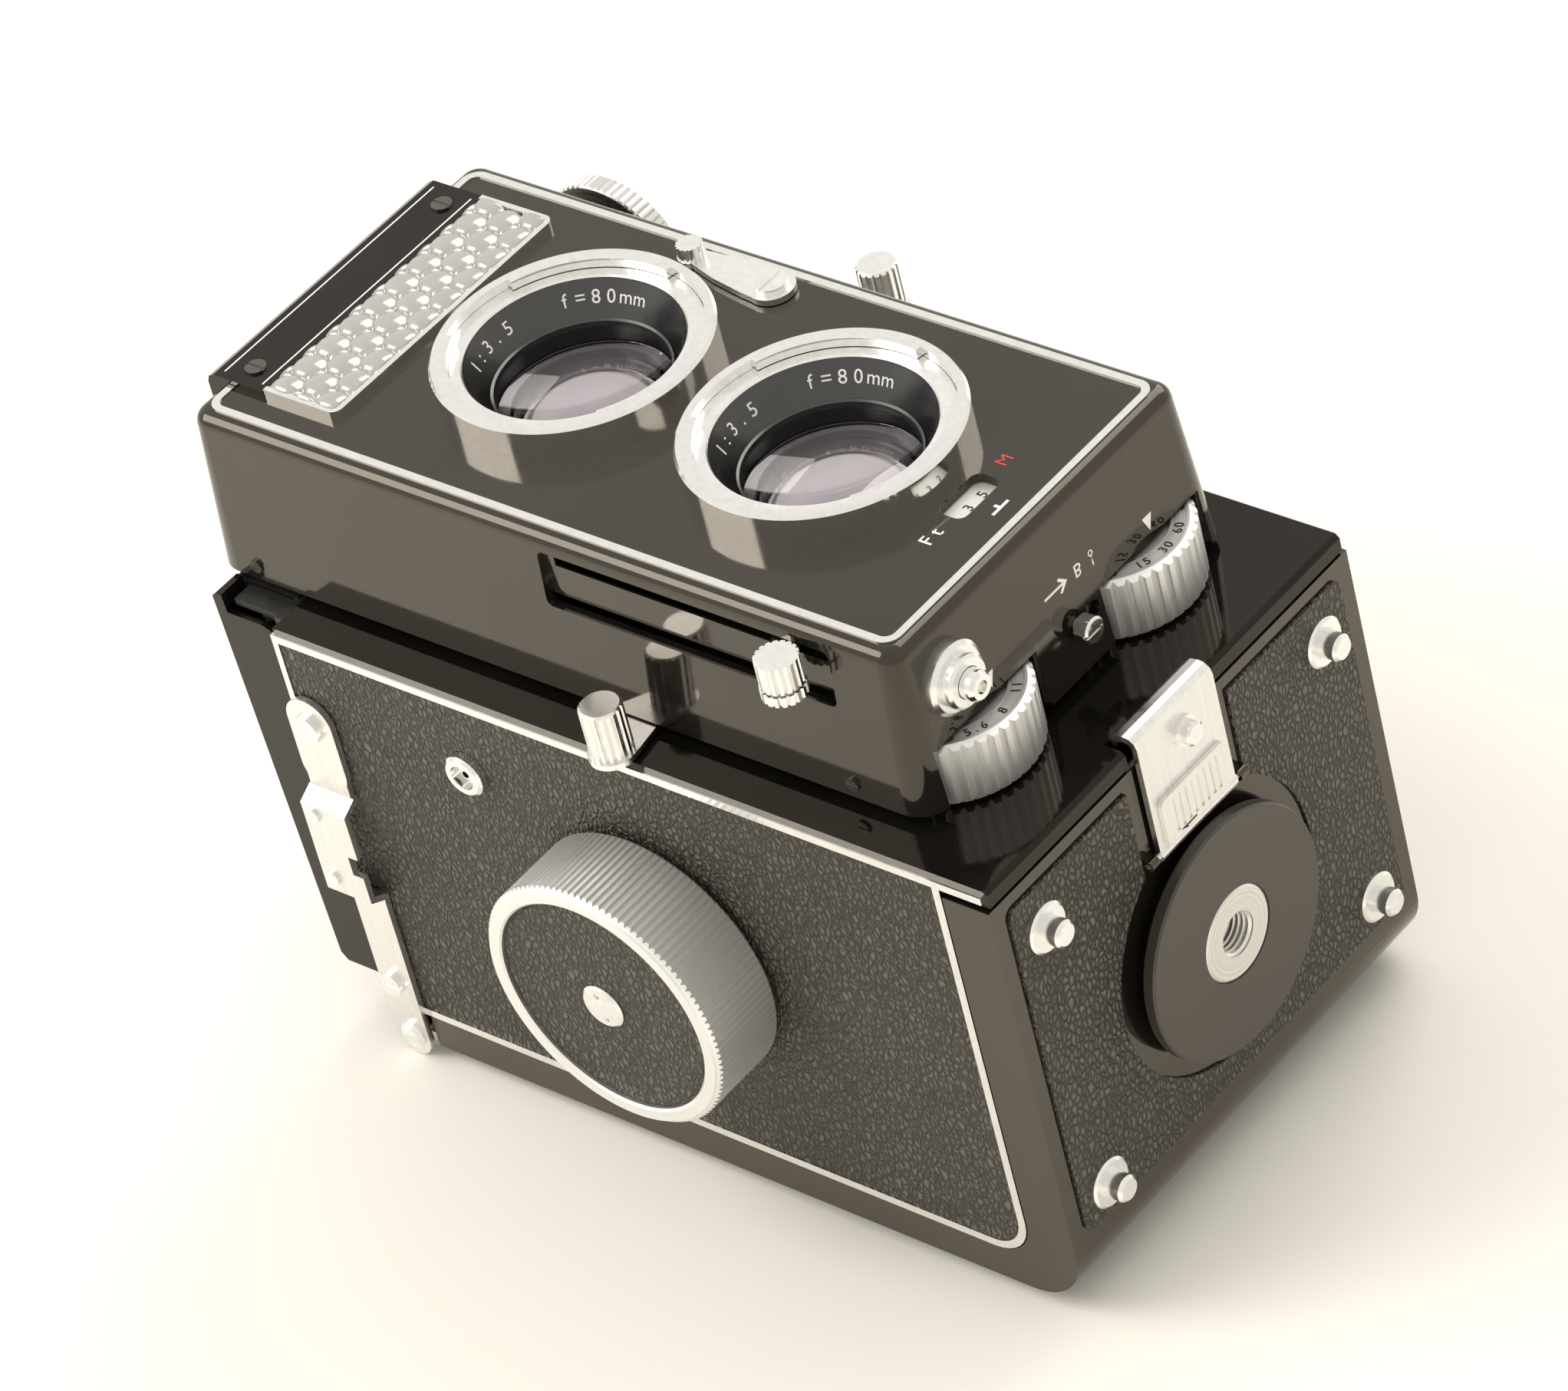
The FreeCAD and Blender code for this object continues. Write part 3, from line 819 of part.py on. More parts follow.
node(group("feet", *[foot("ft%d" % i, a, b) for i, (a, b) in enumerate(((-1, D["foot_y1"]), (1, D["foot_y1"]), (-1, D["foot_y2"]), (1, D["foot_y2"])))]), "feet")
node(turned("tripod_plate", "Z", [(6.75, 0.0), (14.0, 0.0), (14.0, -1.5), (17.2, -1.5), (D["disc_r"], -1.8), (D["disc_r"], -3.2), (17.2, -3.5), (6.75, -3.5)], (0, D["disc_y"], 0)), "tripod_plate")
node(turned("tripod_bushing", "Z", [(D["socket_r"], -3.5), (6.3, -3.5), (6.7, -3.3), (6.7, 0.0), (6.7, 3.4), (D["socket_r"], 3.4)], (0, D["disc_y"], 0)), "tripod_bushing")
pp_o = prism("pp_o", "Y", rounded(-30.2, 30.2, 19.0, 77.5, 2.0), 61.95, 62.85)
node(pp_o, "pressure_plate")


def spring(n, z):
    a = [(x, y) for x, y in ((-18.0, 62.85), (-17.0, 62.85), (-6.0, 69.7), (6.0, 69.7), (17.0, 62.85), (18.0, 62.85), (7.0, CB - CW), (-7.0, CB - CW))]
    return prism(n, "Z", a, z, z + 5.0)


node(group("pressure_springs", spring("ps1", 30.0), spring("ps2", 62.0)), "pressure_springs")

# latch on the base's front edge, on two stub pins in the cover's ears
lt_p = prism("lt_p", "X", [(18.3, -0.45), (18.3, -1.3), (-0.2, -1.3), (-1.1, -1.0), (-1.7, -0.2), (-1.8, 0.8), (-1.55, 2.0), (-0.95, 2.75), (-0.35, 2.85), (0.2, 2.6), (0.45, 2.2), (-0.3, 1.95), (-0.75, 1.4), (-0.9, 0.7), (-0.7, -0.05), (-0.1, -0.45)], -8.1, 8.1)
lt_h = cyl("lt_h", "X", -10.3, 10.3, 17.6, -0.85, 0.45)
lt_g = turned("lt_g", "Z", [(0, -1.3), (2.2, -1.3), (2.2, -1.75), (1.7, -1.75), (1.7, -3.0), (1.4, -3.3), (0, -3.3)], (0.9, 3.4, 0))
lt_hb = cyl("lt_hb", "X", -8.1, 8.1, 17.6, -0.85, 0.75)
node(fuse("latch_plate", lt_p, lt_h, lt_g, lt_hb), "latch_plate")
ls_p = prism("ls_p", "Z", rounded(-6.9, 6.9, 9.4, 16.5, 1.0), -2.0, -1.32)
ls_c = [box("ls_r%d" % i, -4.9 + 1.3 * i, -4.35 + 1.3 * i, 10.4, 15.6, -2.5, -1.8) for i in range(8)]
node(cut("latch_slide", ls_p, *ls_c), "latch_slide")

# ---------------------------------------------------------------- checks and export
doc.recompute()
bad = []
for o in doc.Objects:
    if "Invalid" in o.State or "Error" in o.State:
        bad.append((o.Name, o.State))
for o in NODES:
    sh = o.Shape
    if sh.isNull() or not sh.isValid() or not sh.Solids:
        bad.append((o.Label, "shape", sh.isNull(), (not sh.isNull()) and sh.isValid(), len(sh.Solids)))
if bad:
    for b in bad:
        print("BAD", b)
    raise SystemExit(1)
names = [o.Label for o in NODES]
if len(set(names)) != len(names) or len(names) > 60:
    raise SystemExit("node names or count")
os.makedirs("parts", exist_ok=True)
for o in NODES:
    o.Shape.exportStep("parts/%s.step" % o.Label)
    bbx = o.Shape.BoundBox
    print("%-18s solids %d vol %9.1f  x %7.2f %7.2f  y %7.2f %7.2f  z %7.2f %7.2f" % (o.Label, len(o.Shape.Solids), o.Shape.Volume, bbx.XMin, bbx.XMax, bbx.YMin, bbx.YMax, bbx.ZMin, bbx.ZMax))
print(len(NODES), "nodes")
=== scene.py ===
import bpy, bmesh, math
from mathutils import Vector, Matrix


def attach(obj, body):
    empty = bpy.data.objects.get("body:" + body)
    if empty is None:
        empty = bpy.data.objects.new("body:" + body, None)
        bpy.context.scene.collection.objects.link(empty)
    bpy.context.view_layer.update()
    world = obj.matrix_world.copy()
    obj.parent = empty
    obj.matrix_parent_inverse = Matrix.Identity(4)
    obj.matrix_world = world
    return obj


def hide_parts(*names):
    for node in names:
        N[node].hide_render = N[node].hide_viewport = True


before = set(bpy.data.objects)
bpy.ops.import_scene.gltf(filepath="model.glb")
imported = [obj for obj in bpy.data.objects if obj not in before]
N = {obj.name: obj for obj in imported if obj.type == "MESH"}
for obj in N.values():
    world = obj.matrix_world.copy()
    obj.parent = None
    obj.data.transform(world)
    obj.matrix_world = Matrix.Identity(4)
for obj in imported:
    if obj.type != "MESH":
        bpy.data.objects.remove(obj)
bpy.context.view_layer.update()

OY, OZ = -36.5, 3.5


def P(x, y, z):
    """Workshop millimetres to frame metres."""
    return Vector((x / 1000.0, (y + OY) / 1000.0, (z + OZ) / 1000.0))


# ------------------------------------------------------------------ materials
def new_mat(name):
    m = bpy.data.materials.new(name)
    m.use_nodes = True
    nt = m.node_tree
    return m, nt, nt.nodes["Principled BSDF"]


def coords(nt, scale=(1, 1, 1), loc=(0, 0, 0), rot=(0, 0, 0)):
    tc = nt.nodes.new("ShaderNodeTexCoord")
    mp = nt.nodes.new("ShaderNodeMapping")
    mp.inputs["Scale"].default_value = scale
    mp.inputs["Location"].default_value = loc
    mp.inputs["Rotation"].default_value = rot
    nt.links.new(tc.outputs["Object"], mp.inputs["Vector"])
    return mp.outputs["Vector"]


def noise(nt, vec, scale, detail=4.0, rough=0.5, dist=0.0):
    n = nt.nodes.new("ShaderNodeTexNoise")
    n.inputs["Scale"].default_value = scale
    n.inputs["Detail"].default_value = detail
    n.inputs["Roughness"].default_value = rough
    n.inputs["Distortion"].default_value = dist
    nt.links.new(vec, n.inputs["Vector"])
    return n.outputs["Fac"]


def ramp(nt, fac, stops):
    r = nt.nodes.new("ShaderNodeValToRGB")
    e = r.color_ramp.elements
    e[0].position, e[0].color = stops[0][0], (*stops[0][1], 1)
    e[1].position, e[1].color = stops[-1][0], (*stops[-1][1], 1)
    for p, c in stops[1:-1]:
        k = e.new(p)
        k.color = (*c, 1)
    nt.links.new(fac, r.inputs["Fac"])
    return r.outputs["Color"]


def remap(nt, fac, lo, hi, a=0.0, b=1.0):
    r = nt.nodes.new("ShaderNodeMapRange")
    r.inputs["From Min"].default_value = a
    r.inputs["From Max"].default_value = b
    r.inputs["To Min"].default_value = lo
    r.inputs["To Max"].default_value = hi
    nt.links.new(fac, r.inputs["Value"])
    return r.outputs["Result"]


def bump(nt, b, height, strength, dist, prev=None):
    n = nt.nodes.new("ShaderNodeBump")
    n.inputs["Strength"].default_value = strength
    n.inputs["Distance"].default_value = dist
    nt.links.new(height, n.inputs["Height"])
    if prev is not None:
        nt.links.new(prev, n.inputs["Normal"])
    nt.links.new(n.outputs["Normal"], b.inputs["Normal"])
    return n.outputs["Normal"]


def enamel(name, c0, c1, r0, r1, ior=1.6, peel=0.03, tint=(1.0, 0.86, 0.68)):
    m, nt, b = new_mat(name)
    v = coords(nt)
    n1 = noise(nt, v, 60, 3)
    n2 = noise(nt, v, 900, 5, 0.65)
    nt.links.new(ramp(nt, n1, [(0.3, c0), (0.7, c1)]), b.inputs["Base Color"])
    nt.links.new(remap(nt, n2, r0, r1, 0.35, 0.7), b.inputs["Roughness"])
    b.inputs["IOR"].default_value = ior
    # The warm specular tint colours the reflections tan: painted reflection colour.
    b.inputs["Specular Tint"].default_value = (*tint, 1)
    bump(nt, b, noise(nt, v, 420, 2), peel, 0.00002)
    return m


def leather(name):
    m, nt, b = new_mat(name)
    v = coords(nt, (1, 0.62, 1))
    wob = nt.nodes.new("ShaderNodeTexNoise")
    wob.inputs["Scale"].default_value = 620
    wob.inputs["Detail"].default_value = 3
    nt.links.new(v, wob.inputs["Vector"])
    add = nt.nodes.new("ShaderNodeVectorMath")
    add.operation = "MULTIPLY_ADD"
    add.inputs[1].default_value = (0.0012, 0.0012, 0.0012)
    nt.links.new(wob.outputs["Color"], add.inputs[0])
    nt.links.new(v, add.inputs[2])
    vo = nt.nodes.new("ShaderNodeTexVoronoi")
    vo.feature = "DISTANCE_TO_EDGE"
    vo.inputs["Scale"].default_value = 1200
    nt.links.new(add.outputs[0], vo.inputs["Vector"])
    big = noise(nt, v, 90, 4)
    fine = noise(nt, v, 3000, 4, 0.6)
    # Grain colour: the pebble pattern is the leather's own, but the near-black creases are painted shade and the light
    # pebble tops are a painted sheen.
    cell = remap(nt, vo.outputs["Distance"], 0.0, 1.0, 0.0, 0.30)
    col = ramp(nt, cell, [(0.0, (0.006, 0.0052, 0.0042)), (0.30, (0.042, 0.0378, 0.031)), (1.0, (0.112, 0.102, 0.085))])
    mix = nt.nodes.new("ShaderNodeMix")
    mix.data_type = "RGBA"
    mix.blend_type = "MULTIPLY"
    mix.inputs["Factor"].default_value = 0.6
    nt.links.new(col, mix.inputs[6])
    nt.links.new(ramp(nt, big, [(0.3, (0.72, 0.72, 0.72)), (0.7, (1, 1, 1))]), mix.inputs[7])
    nt.links.new(mix.outputs[2], b.inputs["Base Color"])
    nt.links.new(remap(nt, fine, 0.36, 0.58, 0.3, 0.7), b.inputs["Roughness"])
    b.inputs["IOR"].default_value = 1.55
    b.inputs["Specular Tint"].default_value = (1.0, 0.93, 0.82, 1)
    p = bump(nt, b, cell, 1.0, 0.00036)
    bump(nt, b, fine, 0.4, 0.00006, p)
    return m


def metal(name, col, rough, var=0.06, scratch=(1, 1, 1), sc=900, metallic=1.0, bmp=0.03):
    m, nt, b = new_mat(name)
    v = coords(nt, scratch)
    n = noise(nt, v, sc, 6, 0.6)
    d = tuple(c * 0.9 for c in col)
    nt.links.new(ramp(nt, n, [(0.3, d), (0.7, col)]), b.inputs["Base Color"])
    nt.links.new(remap(nt, noise(nt, v, sc * 0.35, 4), rough - var, rough + var, 0.3, 0.7), b.inputs["Roughness"])
    b.inputs["Metallic"].default_value = metallic
    bump(nt, b, n, bmp, 0.00002)
    return m


def turned(name, col, rough, axis, a, c, strength=0.25, freq=2600):
    """Lathe-turned metal: fine rings about an axis through (a, c) in the other two coordinates (mm, workshop)."""
    m, nt, b = new_mat(name)
    if axis == "X":
        o = P(0, a, c)
    elif axis == "Y":
        o = P(a, 0, c)
    else:
        o = P(a, c, 0)
    tc = nt.nodes.new("ShaderNodeTexCoord")
    sub = nt.nodes.new("ShaderNodeVectorMath")
    sub.operation = "SUBTRACT"
    sub.inputs[1].default_value = o
    nt.links.new(tc.outputs["Object"], sub.inputs[0])
    mul = nt.nodes.new("ShaderNodeVectorMath")
    mul.operation = "MULTIPLY"
    mul.inputs[1].default_value = {"X": (0, 1, 1), "Y": (1, 0, 1), "Z": (1, 1, 0)}[axis]
    nt.links.new(sub.outputs[0], mul.inputs[0])
    ln = nt.nodes.new("ShaderNodeVectorMath")
    ln.operation = "LENGTH"
    nt.links.new(mul.outputs[0], ln.inputs[0])
    n = nt.nodes.new("ShaderNodeTexNoise")
    n.noise_dimensions = "1D"
    n.inputs["Scale"].default_value = freq
    n.inputs["Detail"].default_value = 6
    n.inputs["Roughness"].default_value = 0.7
    nt.links.new(ln.outputs["Value"], n.inputs["W"])
    d = tuple(k * 0.80 for k in col)
    nt.links.new(ramp(nt, n.outputs["Fac"], [(0.3, d), (0.7, col)]), b.inputs["Base Color"])
    nt.links.new(remap(nt, n.outputs["Fac"], rough - 0.06, rough + 0.08, 0.3, 0.7), b.inputs["Roughness"])
    b.inputs["Metallic"].default_value = 1.0
    bump(nt, b, n.outputs["Fac"], strength, 0.00003)
    return m


def plastic(name, c0, c1, rough, ior=1.5, sc=500):
    m, nt, b = new_mat(name)
    v = coords(nt)
    nt.links.new(ramp(nt, noise(nt, v, sc, 4), [(0.3, c0), (0.7, c1)]), b.inputs["Base Color"])
    nt.links.new(remap(nt, noise(nt, v, sc * 3, 4), rough * 0.85, rough * 1.15, 0.3, 0.7), b.inputs["Roughness"])
    b.inputs["IOR"].default_value = ior
    bump(nt, b, noise(nt, v, sc * 4, 3), 0.06, 0.00002)
    return m


def lensglass(name):
    m, nt, b = new_mat(name)
    v = coords(nt)
    nt.links.new(ramp(nt, noise(nt, v, 60, 2), [(0.3, (0.93, 0.90, 0.94)), (0.7, (0.98, 0.96, 0.98))]), b.inputs["Base Color"])
    b.inputs["Transmission Weight"].default_value = 1.0
    b.inputs["Roughness"].default_value = 0.0
    b.inputs["IOR"].default_value = 1.85
    b.inputs["Specular Tint"].default_value = (1.0, 0.95, 0.96, 1)
    bump(nt, b, noise(nt, v, 30, 1), 0.01, 0.00001)
    return m


# ENAMEL, ENAMEL_C and ENAMEL_P are one black enamel in three copies. The body copy (ENAMEL) is darker and less
# reflective as painted shade, and the cover and panel copies are lighter and more reflective as painted light.
ENAMEL = enamel("gloss_enamel", (0.0045, 0.0040, 0.0035), (0.0075, 0.0066, 0.0057), 0.05, 0.11, 1.36)
ENAMEL_C = enamel("cover_enamel", (0.006, 0.0052, 0.0045), (0.010, 0.0088, 0.0075), 0.06, 0.13, 1.78)
ENAMEL_P = enamel("panel_enamel", (0.007, 0.0062, 0.0054), (0.012, 0.0106, 0.0092), 0.05, 0.12, 1.66, 0.03, (1.0, 0.89, 0.74))
SATIN = enamel("satin_black", (0.010, 0.0095, 0.009), (0.018, 0.0165, 0.015), 0.38, 0.5, 1.5, 0.12, (1, 1, 1))
INNER = plastic("flat_black", (0.006, 0.006, 0.006), (0.012, 0.011, 0.011), 0.75)
LEATHER = leather("pebble_leather")
CHROME = metal("satin_chrome", (0.92, 0.91, 0.89), 0.24, 0.06)
BRIGHT = metal("bright_chrome", (0.92, 0.91, 0.89), 0.1, 0.04)
STEEL = metal("brushed_steel", (0.66, 0.65, 0.63), 0.32, 0.08, (1, 0.05, 1), 2200)
DARKSTEEL = metal("dark_steel", (0.16, 0.145, 0.13), 0.3, 0.08)
BRASS = metal("gear_brass", (0.75, 0.55, 0.24), 0.3, 0.08)
LATCH = metal("latch_plate_metal", (0.84, 0.825, 0.80), 0.28, 0.05, (1, 0.04, 1), 2400)
GLASS = lensglass("coated_glass")
MIRROR = metal("mirror_silver", (0.95, 0.95, 0.95), 0.04, 0.02)
SCREEN = plastic("ground_glass", (0.62, 0.61, 0.58), (0.72, 0.71, 0.68), 0.4)
SPOOL = plastic("spool_moulding", (0.012, 0.012, 0.012), (0.02, 0.02, 0.02), 0.4)
PAPER = plastic("scale_paint", (0.80, 0.785, 0.74), (0.87, 0.855, 0.82), 0.4)
WHITE = plastic("white_paint", (0.80, 0.79, 0.76), (0.88, 0.87, 0.84), 0.45)
RED = plastic("red_paint", (0.55, 0.05, 0.035), (0.66, 0.08, 0.05), 0.45)
BLACKINK = plastic("black_ink", (0.008, 0.008, 0.008), (0.014, 0.014, 0.014), 0.5)
KNOB = turned("turned_knob", (0.96, 0.95, 0.93), 0.40, "X", 32.48, 60.93)
PULL_U = turned("turned_pull_upper", (0.86, 0.85, 0.83), 0.26, "X", 51.5, 91.5)
PULL_L = turned("turned_pull_lower", (0.86, 0.85, 0.83), 0.26, "X", 22.0, 14.6)
BASEDISC = turned("turned_black_disc", (0.043, 0.0385, 0.033), 0.36, "Z", 0.0, 36.5, 0.05, 1800)
BASEDISC.node_tree.nodes["Principled BSDF"].inputs["Metallic"].default_value = 0.0
BASEDISC.node_tree.nodes["Principled BSDF"].inputs["IOR"].default_value = 1.6
BASEDISC.node_tree.nodes["Principled BSDF"].inputs["Specular Tint"].default_value = (1.0, 0.90, 0.78, 1)
BUSH = turned("turned_bushing", (0.80, 0.78, 0.74), 0.25, "Z", 0.0, 36.5)
DIAL = turned("turned_dial", (0.80, 0.79, 0.77), 0.28, "X", -12.9, 115.9)
WHEEL_A = turned("turned_wheel_a", (0.98, 0.97, 0.95), 0.44, "Y", -17.3, 20.2)
WHEEL_S = turned("turned_wheel_s", (0.98, 0.97, 0.95), 0.44, "Y", 17.3, 20.2)
MIRRORBACK = metal("inner_glass", (0.62, 0.57, 0.58), 0.08, 0.03, (1, 1, 1), 200)
CELL = metal("cell_sheet", (0.50, 0.49, 0.46), 0.15, 0.04, (1, 1, 1), 300, 0.55, 0.02)
CELL.node_tree.nodes["Principled BSDF"].inputs["IOR"].default_value = 1.9
RINGBLACK = plastic("ring_black", (0.006, 0.006, 0.006), (0.010, 0.010, 0.009), 0.22, 1.8)

USE = {
    "body_casting": ENAMEL, "side_trims": BRIGHT, "side_leathers": LEATHER, "dark_chamber": INNER, "reflex_mirror": MIRROR,
    "focusing_screen": SCREEN, "hood_base": SATIN, "strap_brackets": LATCH, "bracket_screws": CHROME, "sync_socket": BRIGHT,
    "hinge_pin": CHROME, "focus_pivot": STEEL, "front_panel": ENAMEL_P, "lens_board": INNER, "panel_trim": BRIGHT,
    "nameplate": ENAMEL, "panel_screws": DARKSTEEL, "cell_frame": BRIGHT, "bayonet_rings": BRIGHT, "lens_barrels": RINGBLACK,
    "front_elements": GLASS, "shutter_housing": INNER, "release_collar": CHROME, "release_button": BRIGHT,
    "cocking_lever": CHROME, "aperture_wheel": WHEEL_A, "speed_wheel": WHEEL_S, "bulb_lock": BRIGHT, "sync_lever": CHROME,
    "film_speed_dial": DIAL, "distance_scale": PAPER, "focus_lever": CHROME, "focus_knobs": CHROME, "advance_knob": KNOB,
    "knob_leather": LEATHER, "knob_cap": CHROME, "winding_shaft": STEEL, "spool_gear": BRASS, "takeup_spool": SPOOL,
    "supply_spool": SPOOL, "spool_knob_upper": PULL_U, "spool_knob_lower": PULL_L, "hood_lid": ENAMEL, "hood_flap_wind": INNER,
    "hood_flap_plain": INNER, "hood_flap_rear": INNER, "magnifier_frame": SATIN, "magnifier_lens": GLASS, "back_shell": ENAMEL_C, "base_shell": ENAMEL_C,
    "back_leather": LEATHER, "base_leather": LEATHER, "feet": CHROME, "tripod_plate": BASEDISC, "tripod_bushing": BUSH,
    "pressure_plate": SATIN, "pressure_springs": STEEL, "latch_plate": LATCH, "latch_slide": LATCH,
}
for n, m in USE.items():
    o = N[n]
    o.data.materials.clear()
    o.data.materials.append(m)
    for p in o.data.polygons:
        p.material_index = 0


lp_ = N["latch_plate"]
lp_.data.materials.append(BRIGHT)
for p in lp_.data.polygons:
    q = lp_.matrix_world @ p.center
    if math.hypot(q.x * 1000 - 0.9, q.y * 1000 - OY - 3.4) < 2.4 and q.z * 1000 - OZ < -1.4:
        p.material_index = 1

# ------------------------------------------------------------------ mesh helpers
def obj_from(name, verts, faces, mat, body, smooth=False):
    me = bpy.data.meshes.new(name)
    me.from_pydata([tuple(v) for v in verts], [], faces)
    me.update()
    o = bpy.data.objects.new(name, me)
    bpy.context.scene.collection.objects.link(o)
    me.materials.append(mat)
    if smooth:
        for p in me.polygons:
            p.use_smooth = True
    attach(o, body)
    return o


FONT_CACHE = {}


def glyph_mesh(ch, size, depth):
    """Flat outline of a character in mm, thickened: built in XY with its base line at the origin."""
    key = (ch, size, depth)
    if key in FONT_CACHE:
        return FONT_CACHE[key]
    cu = bpy.data.curves.new("glyph", "FONT")
    cu.body = ch
    cu.size = size
    cu.extrude = depth / 2.0
    cu.align_x = "CENTER"
    cu.align_y = "CENTER"
    cu.resolution_u = 3
    to = bpy.data.objects.new("glyph", cu)
    bpy.context.scene.collection.objects.link(to)
    bpy.context.view_layer.update()
    dg = bpy.context.evaluated_depsgraph_get()
    me = bpy.data.meshes.new_from_object(to.evaluated_get(dg))
    vs = [tuple(v.co) for v in me.vertices]
    fs = [tuple(p.vertices) for p in me.polygons]
    bpy.data.objects.remove(to)
    bpy.data.curves.remove(cu)
    bpy.data.meshes.remove(me)
    FONT_CACHE[key] = (vs, fs)
    return vs, fs


def place_text(items, name, mat, body):
    """items: (character, size mm, depth mm, centre, right, up) with vectors in workshop mm."""
    V_, F_ = [], []
    for ch, size, depth, c, r, u in items:
        r = Vector(r).normalized()
        u = Vector(u).normalized()
        nrm = r.cross(u)
        vs, fs = glyph_mesh(ch, size, depth)
        k = len(V_)
        for v in vs:
            q = Vector(c) + r * v[0] + u * v[1] + nrm * v[2]
            V_.append(P(*q))
        F_ += [tuple(i + k for i in f) for f in fs]
    return obj_from(name, V_, F_, mat, body)


def slab(name, poly, c, r, u, depth, mat, body):
    """Thin prism with outline poly (mm) in the plane through c spanned by r and u, standing depth proud."""
    r = Vector(r).normalized()
    u = Vector(u).normalized()
    nrm = r.cross(u)
    n = len(poly)
    V_ = [P(*(Vector(c) + r * x + u * y - nrm * 0.02)) for x, y in poly] + [P(*(Vector(c) + r * x + u * y + nrm * depth)) for x, y in poly]
    F_ = [tuple(range(n - 1, -1, -1)), tuple(range(n, 2 * n))] + [(i, (i + 1) % n, n + (i + 1) % n, n + i) for i in range(n)]
    return obj_from(name, V_, F_, mat, body)


def revolve(name, prof, axis, at, mat, body, seg=96, smooth=True):
    """Open profile (radius, distance along the axis) in mm turned round an axis."""
    V_, F_ = [], []
    m = len(prof)
    for i in range(seg):
        a = 2 * math.pi * i / seg
        for r, d in prof:
            c, s = r * math.cos(a), r * math.sin(a)
            q = {"X": (d, c, s), "Y": (c, d, s), "Z": (c, s, d)}[axis]
            V_.append(P(q[0] + at[0], q[1] + at[1], q[2] + at[2]))
    for i in range(seg):
        for j in range(m - 1):
            a, b = i * m + j, ((i + 1) % seg) * m + j
            F_.append((a, a + 1, b + 1, b))
    o = obj_from(name, V_, F_, mat, body, smooth)
    bm = bmesh.new()
    bm.from_mesh(o.data)
    bmesh.ops.remove_doubles(bm, verts=bm.verts, dist=1e-7)
    bmesh.ops.recalc_face_normals(bm, faces=bm.faces)
    bm.to_mesh(o.data)
    bm.free()
    return o


# ------------------------------------------------------------------ lens details
PY = 26.2
TZ, VZ = 48.29, 90.29
for tag, z in (("viewing", VZ), ("taking", TZ)):
    # inner elements, seen through the front glass
    R = 24.0
    prof = [(0.01, -PY + 6.0)]
    for k in range(1, 21):
        r = 10.1 * k / 20
        prof.append((r, -PY + 6.0 + (R - math.sqrt(R * R - r * r))))
    prof += [(10.1, -PY + 9.9), (0.01, -PY + 9.9)]
    revolve(tag + "_inner_element", prof, "Y", (0, 0, z), MIRRORBACK, "lens_standard")
    # grey retaining ring between the bayonet and the name ring: a threaded profile is built first, then replaced by a
    # flat ring
    prof = [(16.15, -PY - 0.9)]
    y = -PY - 0.9
    prof = []
    for k in range(7):
        prof += [(16.05, -PY - 2.95 + 0.3 * k), (15.75, -PY - 2.8 + 0.3 * k)]
    prof = [(14.95, -PY - 3.0), (15.15, -PY - 3.25), (17.56, -PY - 3.25), (17.56, -PY - 2.92), (15.0, -PY - 2.92), (14.95, -PY - 3.0)]
    revolve(tag + "_retaining_ring", prof, "Y", (0, 0, z), CHROME, "lens_standard", smooth=False)
    # polished rim of the front glass
    prof = [(12.25, -PY + 1.7), (12.25, -PY + 2.6), (11.75, -PY + 2.6), (11.9, -PY + 1.9), (12.25, -PY + 1.7)]
    revolve(tag + "_glass_rim", prof, "Y", (0, 0, z), RINGBLACK, "lens_standard", smooth=False)
    # engraving on the cone: aperture and focal length only
    txt = "1:3.5   f=80mm"
    items = []
    cone0, cone1 = Vector((15.0, -PY - 2.4)), Vector((12.3, -PY + 1.9))
    mid = cone0.lerp(cone1, 0.42)
    slope = (cone0 - cone1).normalized()
    a0 = math.radians(118)
    for i, ch in enumerate(txt):
        if ch == " ":
            continue
        a = a0 - i * math.radians(8.8)
        er = Vector((math.cos(a), 0, math.sin(a)))
        tan = Vector((math.sin(a), 0, -math.cos(a)))
        up = er * slope.x + Vector((0, slope.y, 0))
        nrm = tan.cross(up.normalized())
        cpt = er * mid.x + Vector((0, mid.y, z)) + nrm * 0.02
        items.append((ch, 2.7, 0.05, cpt, tan, up))
    place_text(items, tag + "_lens_engraving", WHITE, "lens_standard")

# ------------------------------------------------------------------ thread inside the tripod bushing
SR = 3.165
prof = [(SR, -3.3)]
zt = -3.3
while zt < 3.0:
    prof += [(SR - 0.02, zt), (SR - 0.42, zt + 0.30), (SR - 0.42, zt + 0.42), (SR - 0.02, zt + 0.72)]
    zt += 0.8
prof += [(SR, zt), (SR, -3.3)]
revolve("socket_thread", prof, "Z", (0, 36.5, 0), BUSH, "back_cover", smooth=False)

# ------------------------------------------------------------------ moulded window of the light meter
X0, X1, Z0, Z1 = -21.8, 21.8, 114.2, 126.1
YB, YT = -PY - 0.35, -PY - 1.75
pitch = 4.72
rowp = 4.0
nx, nz = 190, 52
cents = []
for j in range(-1, 5):
    for i in range(-1, 11):
        cents.append((X0 + 1.2 + pitch * (i + (0.5 if j % 2 else 0.0)), Z0 + 1.7 + rowp * j))
V_, F_ = [], []
for j in range(nz + 1):
    for i in range(nx + 1):
        x = X0 + (X1 - X0) * i / nx
        z = Z0 + (Z1 - Z0) * j / nz
        d = min((x - a) ** 2 + (z - b) ** 2 for a, b in cents)
        rr = 2.62
        hgt = math.sqrt(max(0.0, 1.0 - d / (rr * rr)))
        V_.append(P(x, YB + (YT - YB) * hgt, z))
top = len(V_)
